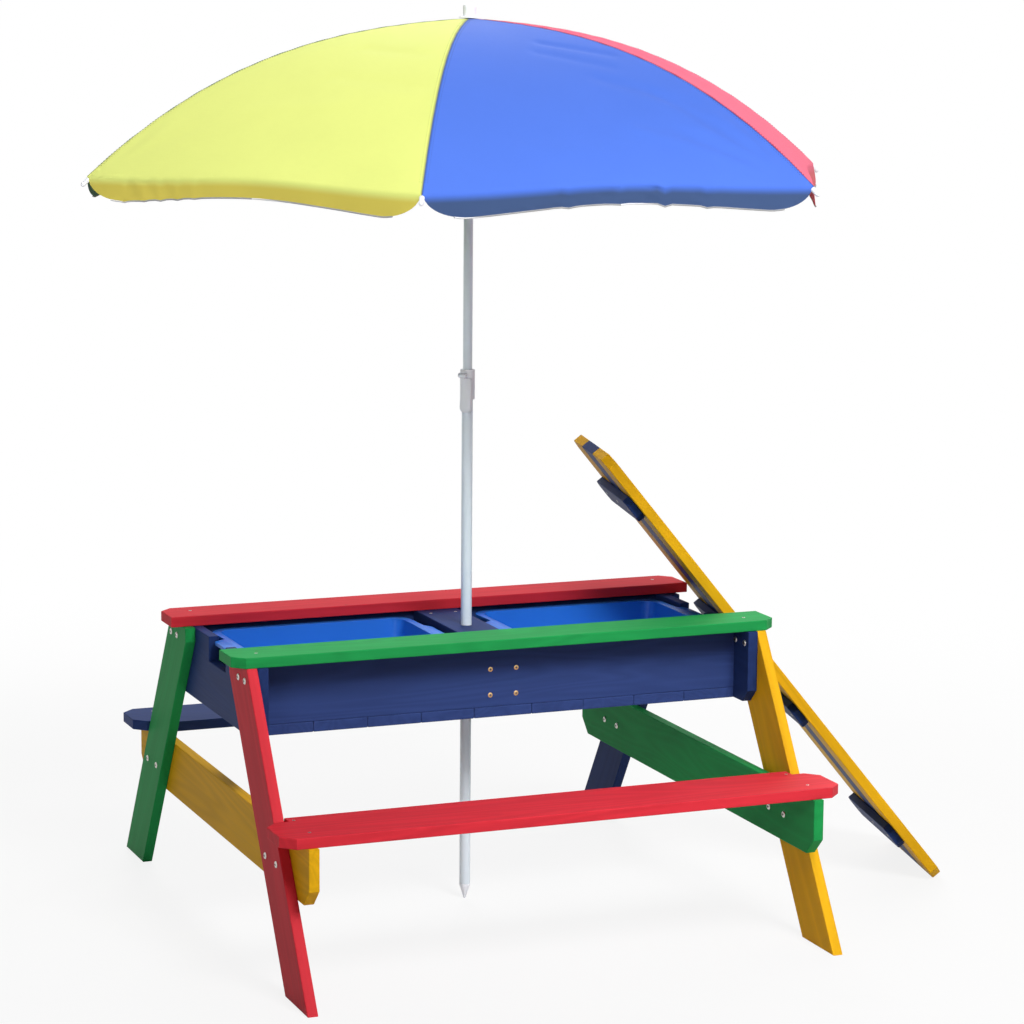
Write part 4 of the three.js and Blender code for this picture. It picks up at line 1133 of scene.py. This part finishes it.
# Panels in order from the rib at the right; across is metres from the middle, down from the crown
DRAPES = (
    Drape(1, 2, fan(0.32, 0.67, 0.9, 0.16, 4, 0.008, 0.0008, -0.7), 0.3),
    Drape(5, 2, fan(-0.30, 0.66, 0.9, 0.20, 5, 0.009, 0.0010, 0.6)
          + hem_dents(((-0.12, 0.01), (0.05, -0.01), (0.16, 0.008)), 0.0010), 1.1),
    Drape(2, 4, fan(0.30, 0.66, 0.8, 0.18, 4, 0.009, 0.0009, -0.6), 2.0),
    Drape(3, 3, hem_dents(((-0.27, 0.02), (-0.235, 0.022), (-0.20, 0.02), (-0.165, 0.018),
                           (-0.12, 0.012)), 0.0022)
          + fan(-0.31, 0.665, 0.7, 0.15, 4, 0.008, 0.0014, 0.55)
          + [(-0.02, 0.30, 0.13, 0.33, 0.016, -0.0018), (0.0, 0.42, 0.20, 0.45, 0.016, -0.0020),
             (-0.10, 0.52, 0.08, 0.50, 0.018, 0.0014)], 0.0),
    Drape(1, 4, fan(0.31, 0.665, 0.8, 0.26, 6, 0.010, 0.0028, -0.75)
          + hem_dents(((-0.09, -0.034), (-0.005, -0.034), (0.085, -0.032), (0.168, -0.028)),
                      0.0040)
          + [(0.03, 0.26, 0.13, 0.33, 0.012, -0.0026), (0.0, 0.31, 0.11, 0.38, 0.013, -0.0018),
             (0.07, 0.42, 0.21, 0.50, 0.014, -0.0024),
             (-0.17, 0.60, -0.02, 0.60, 0.014, 0.0016)], 4.0),
    Drape(5, 9, fan(-0.30, 0.66, 0.8, 0.2, 4, 0.009, 0.0012, 0.6)
          + hem_dents(((-0.2, 0.01), (0.04, 0.0), (0.2, -0.01)), 0.0012), 5.2),
)


class SewCanopy(bpy.types.Operator):
    """Sews the six panels, each in two halves that ride on their own ribs"""

    bl_idname = "picnic.sew_canopy"
    bl_label = "Sew Canopy"

    ROWS = 64
    COLUMNS = 34
    VALANCE_ROWS = 12
    RIM_RISE = 11 * MM
    RIM_HELD = 45 * MM
    CROWN_HELD = 130 * MM
    SAG = 10 * MM
    GROOVE = 1.8 * MM
    PUCKER_REACH = 15 * MM
    PUCKER_WAVE, PUCKER_SWELL = 7.5 * MM, 27 * MM
    STITCH_ROWS = (2.6 * MM, 6.2 * MM)
    STITCH_START = 30 * MM
    STITCH_END = CANOPY_RADIUS - 16 * MM
    STITCH_LENGTH = 2.6 * MM
    STITCH_WIDTH = 0.5 * MM
    STITCH_STEP = 4.4 * MM
    FOLD_TILT = math.radians(12.5)
    FOLD_RISE = 32 * MM
    FOLD_IN, FOLD_DOWN = 0.352, 0.936

    def half_shares(self, second):
        """Shares from a seam to the middle of a panel, closer together near the seam."""
        shares = [0.5 * (i / self.COLUMNS) ** 1.5 for i in range(self.COLUMNS + 1)]
        return [1 - share for share in reversed(shares)] if second else shares

    def panel_point(self, radius, share, cloth, drape):
        """A point on the outer side of a panel whose first seam lies along X."""
        turn = share * PANEL_STEP
        chord = radius * math.cos(PANEL_STEP / 2) / math.cos(turn - PANEL_STEP / 2)
        seam = min(share, 1 - share) * radius
        part = radius / CANOPY_RADIUS
        from_rim = (CANOPY_RADIUS - radius) / self.RIM_HELD
        free = max(0.0, min(1.0, from_rim, radius / self.CROWN_HELD))
        pucker = cloth.pucker * math.sin(radius / self.PUCKER_WAVE + 9 * share)
        pucker *= math.sin(radius / self.PUCKER_SWELL + drape.phase)
        height = cloth_height(radius)
        height -= pucker * math.exp(-seam / self.PUCKER_REACH) * free
        height -= MM * math.exp(-(seam / self.GROOVE) ** 2) * min(1.0, part * 4)
        height -= self.SAG * math.sin(math.pi * share) ** 2 * part * (1 - part)
        across = (share - 0.5) * PANEL_CHORD * part
        height += drape.lift(across, radius) * math.sin(math.pi * min(1, max(0, share))) ** 0.3
        return Vector((chord * math.cos(turn), chord * math.sin(turn), height))

    def column(self, share, cloth, drape):
        """Points down one column, from the crown over the rim's fold to the valance's edge."""
        rim_radius = CANOPY_RADIUS - self.RIM_RISE * math.sin(math.pi * share) ** 2
        last = rim_radius - FOLD_RADIUS
        points = []
        for row in range(self.ROWS + 1):
            radius = CROWN_EDGE + (last - CROWN_EDGE) * row / self.ROWS
            points.append(self.panel_point(radius, share, cloth, drape))
        rim = self.panel_point(rim_radius, share, cloth, drape)
        start = points[-1]
        out = about_axis(PANEL_STEP / 2) @ ALONG_X
        depth = valance_depth(share)
        across = (share - 0.5) * CANOPY_RADIUS
        soft = min(1.0, depth / (14 * MM))
        foot = rim - UP * FOLD_RADIUS * soft
        for row in range(1, 5):
            part = row / 4
            points.append((1 - part) ** 2 * start + 2 * part * (1 - part) * rim + part ** 2 * foot)
        for row in range(1, self.VALANCE_ROWS + 1):
            part = row / self.VALANCE_ROWS
            drop = FOLD_RADIUS * soft + max(0.4 * MM, depth - FOLD_RADIUS * soft) * part
            swing = drape.flare(share) * (drop / VALANCE_END) ** 1.3 * soft
            crease = drape.lift(across, CANOPY_RADIUS + drop) * soft * 0.8
            points.append(rim - UP * drop + out * (swing + crease))
        return points

    def half(self, name, second, cloth, drape, place):
        """Half a panel, from its seam to its middle, with the area of its cloth."""
        shares = self.half_shares(second)
        columns = [self.column(share, cloth, drape) for share in shares]
        rows = len(columns[0])
        verts = [place @ point for points in columns for point in points]
        faces, pattern = [], []
        for i in range(len(columns) - 1):
            for j in range(rows - 1):
                a = i * rows + j
                faces.append((a, a + 1, a + 1 + rows, a + rows))
        for points, share in zip(columns, shares):
            runs = [0.0]
            for here, there in zip(points, points[1:]):
                runs.append(runs[-1] + (there - here).length)
            rim = runs[self.ROWS + 2]
            for run in runs:
                down = PATTERN_RIM * run / rim if run < rim else PATTERN_RIM + run - rim
                pattern.append(((share - 0.5) * PANEL_CHORD * min(1.0, down / PATTERN_RIM), down))
        mesh = bpy.data.meshes.new(name)
        mesh.from_pydata(verts, [], faces)
        layer = mesh.uv_layers.new(name="Pattern")
        for loop in mesh.loops:
            layer.data[loop.index].uv = pattern[loop.vertex_index]
        piece = linked(name, mesh)
        area = sum(polygon.area for polygon in mesh.polygons)
        change(piece, "SOLIDIFY", thickness=cloth.thickness, offset=-1, use_even_offset=True)
        edge = [place @ (points[-1] - UP * cloth.piping * 0.3)
                for share, points in zip(shares, columns)
                if min(share, 1 - share) >= VALANCE_CUT_SHARE * 0.62]
        return smooth(piece, 50), edge, area

    def cord_along(self, name, points, radius):
        """A thin round cord through points, as one closed mesh."""
        curve = bpy.data.curves.new(name, "CURVE")
        curve.dimensions = "3D"
        curve.bevel_depth = radius
        curve.bevel_resolution = 2
        curve.use_fill_caps = True
        line = curve.splines.new("POLY")
        line.points.add(len(points) - 1)
        for spot, point in zip(line.points, points):
            spot.co = (*point, 1)
        select_only(linked(name, curve))
        bpy.ops.object.convert(target="MESH")
        return smooth(bpy.context.object, 60)

    def stitch(self, mesh, at, along, lift):
        """One short raised stitch."""
        side = along.cross(lift) * self.STITCH_WIDTH
        rings = []
        for away, high in ((-0.5, -0.1), (-0.25, 0.3), (0.25, 0.3), (0.5, -0.1)):
            centre = at + along * away * self.STITCH_LENGTH
            rings.append([mesh.verts.new(centre + side * x + lift * MM * (high + y))
                          for x, y in ((-0.5, -0.2), (0.5, -0.2), (0, 0.15))])
        for here, there in zip(rings, rings[1:]):
            for k in range(3):
                mesh.faces.new((here[k], here[(k + 1) % 3], there[(k + 1) % 3], there[k]))
        mesh.faces.new(rings[0][::-1])
        mesh.faces.new(rings[-1])

    def stitches(self, name, second, cloth, drape, place):
        """Two rows of stitching beside the seam, on the outer side."""
        mesh = bmesh.new()
        for away in self.STITCH_ROWS:
            radius = self.STITCH_START
            while radius < self.STITCH_END:
                share = away / (radius * PANEL_STEP)
                beside = share + 0.002
                if second:
                    share, beside = 1 - share, 1 - beside
                at, ahead, aside = (
                    self.panel_point(*spot, cloth, drape)
                    for spot in ((radius, share), (radius + MM, share), (radius, beside)))
                along = (ahead - at).normalized()
                lift = along.cross(aside - at).normalized()
                if lift.z < 0:
                    lift = -lift
                self.stitch(mesh, at, along, lift)
                radius += self.STITCH_STEP
        bmesh.ops.recalc_face_normals(mesh, faces=mesh.faces)
        data = bpy.data.meshes.new(name)
        mesh.to_mesh(data)
        mesh.free()
        data.transform(place)
        return linked(name, data)

    def execute(self, context):
        cloth = context.scene.picnic_cloth
        coats, threads = {}, {}
        for colour in dict.fromkeys(PANEL_COLOURS):
            tone = getattr(cloth, colour)
            coats[colour] = woven_cloth(f"cloth_{colour}", tone)
            threads[colour] = woven_cloth(f"thread_{colour}", [0.7 * channel for channel in tone])
        white = woven_cloth("cloth_binding", (0.78, 0.78, 0.80))
        for number, colour in enumerate(PANEL_COLOURS, 1):
            place, drape = about_axis(rib_turn(number)), DRAPES[number - 1]
            for half in "ab":
                second = half == "b"
                rib = number % PANELS + 1 if second else number
                label = f"{number}{half}"
                sheet, edge, area = self.half(f"canopy_{label}", second, cloth, drape, place)
                piping = self.cord_along(f"canopy_piping_{label}", edge, cloth.piping / 2)
                sewing = self.stitches(f"canopy_stitches_{label}", second, cloth, drape, place)
                wear(sheet, coats[colour])
                wear(piping, white)
                wear(sewing, threads[colour])
                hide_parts(f"canopy_panel_{number}")
                self.hang(sheet, (piping, sewing), rib, -1 if second else 1, area, cloth)
        return {"FINISHED"}

    def hang(self, sheet, trims, rib, side, area, cloth):
        """Puts half a panel and its trims on its rib."""
        turn = rib_turn(rib)
        outward = Vector((math.cos(turn), math.sin(turn), 0))
        anchor = outward * CANOPY_RADIUS / 2
        anchor.z = (CANOPY_TOP + cloth_height(CANOPY_RADIUS)) / 2 + self.FOLD_RISE
        for piece in (sheet, *trims):
            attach(piece, f"rib_{rib}")
            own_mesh(piece)


# ---------------------------------------------------------------- the stage


class LightStage(bpy.types.Operator):
    """Lays the pale floor, hangs the soft lamps and sets the camera"""

    bl_idname = "picnic.light_stage"
    bl_label = "Light Stage"

    CAMERA_AT = Vector((-1972.3, -5075.2, 1587.0)) * MM
    YAW, PITCH, ROLL = math.radians(22.06), math.radians(-9.35), math.radians(0.461)
    # Each lamp's name, place, aim, diameter and spread in degrees
    LAMPS = (
        ("top", (0.1, -1.4, 4.8), (0, 0, 0.9), 3.0, 180),
        ("front", (0.7, -4.4, 5.0), (0, 0, 0.5), 2.4, 180),
        ("side", (3.9, 3.0, 3.0), (0, 0, 0.5), 2.4, 180),
        ("back", (1.3, 5.0, 3.7), (0, 0, 0.5), 3.0, 180),
        ("canopy", (-2.6, -2.6, 2.1), (-0.35, -0.3, 1.5), 1.0, 50),
        ("bench", (0.35, -1.5, 1.6), (0.2, -0.45, 0.25), 1.0, 50),
    )

    def floor(self, stage):
        reach = stage.floor_reach
        bpy.ops.object.select_all(action="DESELECT")
        bpy.ops.mesh.primitive_plane_add(size=2 * reach, location=(0, 0, 0))
        floor = settle(named("floor"))
        pale = Finish("floor_paper", Roughness=0.9)
        grain = pale.noise(pale.place((3, 3, 3)), detail=2)
        pale.feed("Base Color", pale.mix(grain, rgba([0.56] * 3), rgba([0.60] * 3)))
        far = pale.span(pale.length(pale.place((1, 1, 1))), 1.1, 3.2)
        glow = pale.node("ShaderNodeEmission", values={"Color": (1, 1, 1, 1), "Strength": 1.0})
        shader = Value(pale, pale.shader.outputs["BSDF"])
        share = (0.86 + far * 0.14) * pale.seen()
        mixed = pale.node("ShaderNodeMixShader", values={0: share, 1: shader, 2: glow})
        pale.plug(pale.tree.nodes["Material Output"].inputs["Surface"], mixed)
        wear(floor, pale.material)

    def sky(self, stage):
        world = bpy.data.worlds.new("studio")
        world.use_nodes = True
        bpy.context.scene.world = world
        sky = Nodes(world.node_tree)
        white = (1, 1, 1, 1)
        dim = sky.node("ShaderNodeBackground", values={"Color": white, "Strength": stage.sky})
        plain = sky.node("ShaderNodeBackground", values={"Color": white, "Strength": 1.0})
        both = sky.node("ShaderNodeMixShader", values={0: sky.seen(), 1: dim, 2: plain})
        sky.plug(sky.tree.nodes["World Output"].inputs["Surface"], both)

    def lamp(self, name, at, toward, size, spread, power):
        light = bpy.data.lights.new(name, "AREA")
        light.shape = "DISK"
        light.size = size
        light.spread = math.radians(spread)
        light.energy = power
        lamp = linked(name, light)
        lamp.location = at
        lamp.visible_camera = False
        lamp.visible_glossy = name != "back_lamp"
        lamp.rotation_euler = (Vector(toward) - Vector(at)).to_track_quat("-Z", "Y").to_euler()

    def camera(self, stage):
        data = bpy.data.cameras.new("camera")
        data.sensor_width = 36
        data.lens = stage.lens
        data.clip_end = 100
        camera = linked("camera", data)
        cos_pitch = math.cos(self.PITCH)
        look = Vector((math.sin(self.YAW) * cos_pitch, math.cos(self.YAW) * cos_pitch,
                       math.sin(self.PITCH)))
        right = Vector((math.cos(self.YAW), -math.sin(self.YAW), 0))
        up = right.cross(look)
        tilted = right * math.cos(self.ROLL) + up * math.sin(self.ROLL)
        raised = up * math.cos(self.ROLL) - right * math.sin(self.ROLL)
        turn = Matrix((tilted, raised, -look)).transposed()
        camera.matrix_world = Matrix.Translation(self.CAMERA_AT) @ turn.to_4x4()
        bpy.context.scene.camera = camera

    def execute(self, context):
        stage = context.scene.picnic_stage
        self.floor(stage)
        self.sky(stage)
        for name, at, toward, size, spread in self.LAMPS:
            power = getattr(stage, f"{name}_power")
            self.lamp(f"{name}_lamp", at, toward, size, spread, power)
        self.camera(stage)
        context.scene.view_settings.view_transform = "Standard"
        return {"FINISHED"}


class PicnicPanel(bpy.types.Panel):
    """Lists the steps that dress the table"""

    bl_idname = "VIEW3D_PT_picnic"
    bl_label = "Picnic Table"
    bl_space_type = "VIEW_3D"
    bl_region_type = "UI"
    bl_category = "Picnic Table"

    def draw(self, context):
        for operator in OPERATORS:
            self.layout.operator(operator.bl_idname)
        for group in GROUPS:
            values = getattr(context.scene, group)
            for name in values.__annotations__:
                self.layout.prop(values, name)


OPERATORS = (PaintBoards, MouldTubs, DriveScrews, RaisePole, FitClamp, TurnHubs, BendRibs,
             SewCanopy, LightStage)
GROUPS = {
    "picnic_paint": TablePaint,
    "picnic_tub": TubMoulding,
    "picnic_cloth": ParasolCloth,
    "picnic_stage": StudioStage,
}


def register():
    for kind in (*GROUPS.values(), *OPERATORS, PicnicPanel):
        bpy.utils.register_class(kind)
    for name, kind in GROUPS.items():
        setattr(bpy.types.Scene, name, PointerProperty(type=kind))


def unregister():
    for name in GROUPS:
        delattr(bpy.types.Scene, name)
    for kind in reversed((*GROUPS.values(), *OPERATORS, PicnicPanel)):
        bpy.utils.unregister_class(kind)


def main():
    register()
    bpy.ops.picnic.paint_boards()
    bpy.ops.picnic.mould_tubs()
    bpy.ops.picnic.drive_screws()
    bpy.ops.picnic.raise_pole()
    bpy.ops.picnic.fit_clamp()
    bpy.ops.picnic.turn_hubs()
    bpy.ops.picnic.bend_ribs()
    bpy.ops.picnic.sew_canopy()
    bpy.ops.picnic.light_stage()


if __name__ == "__main__":
    main()
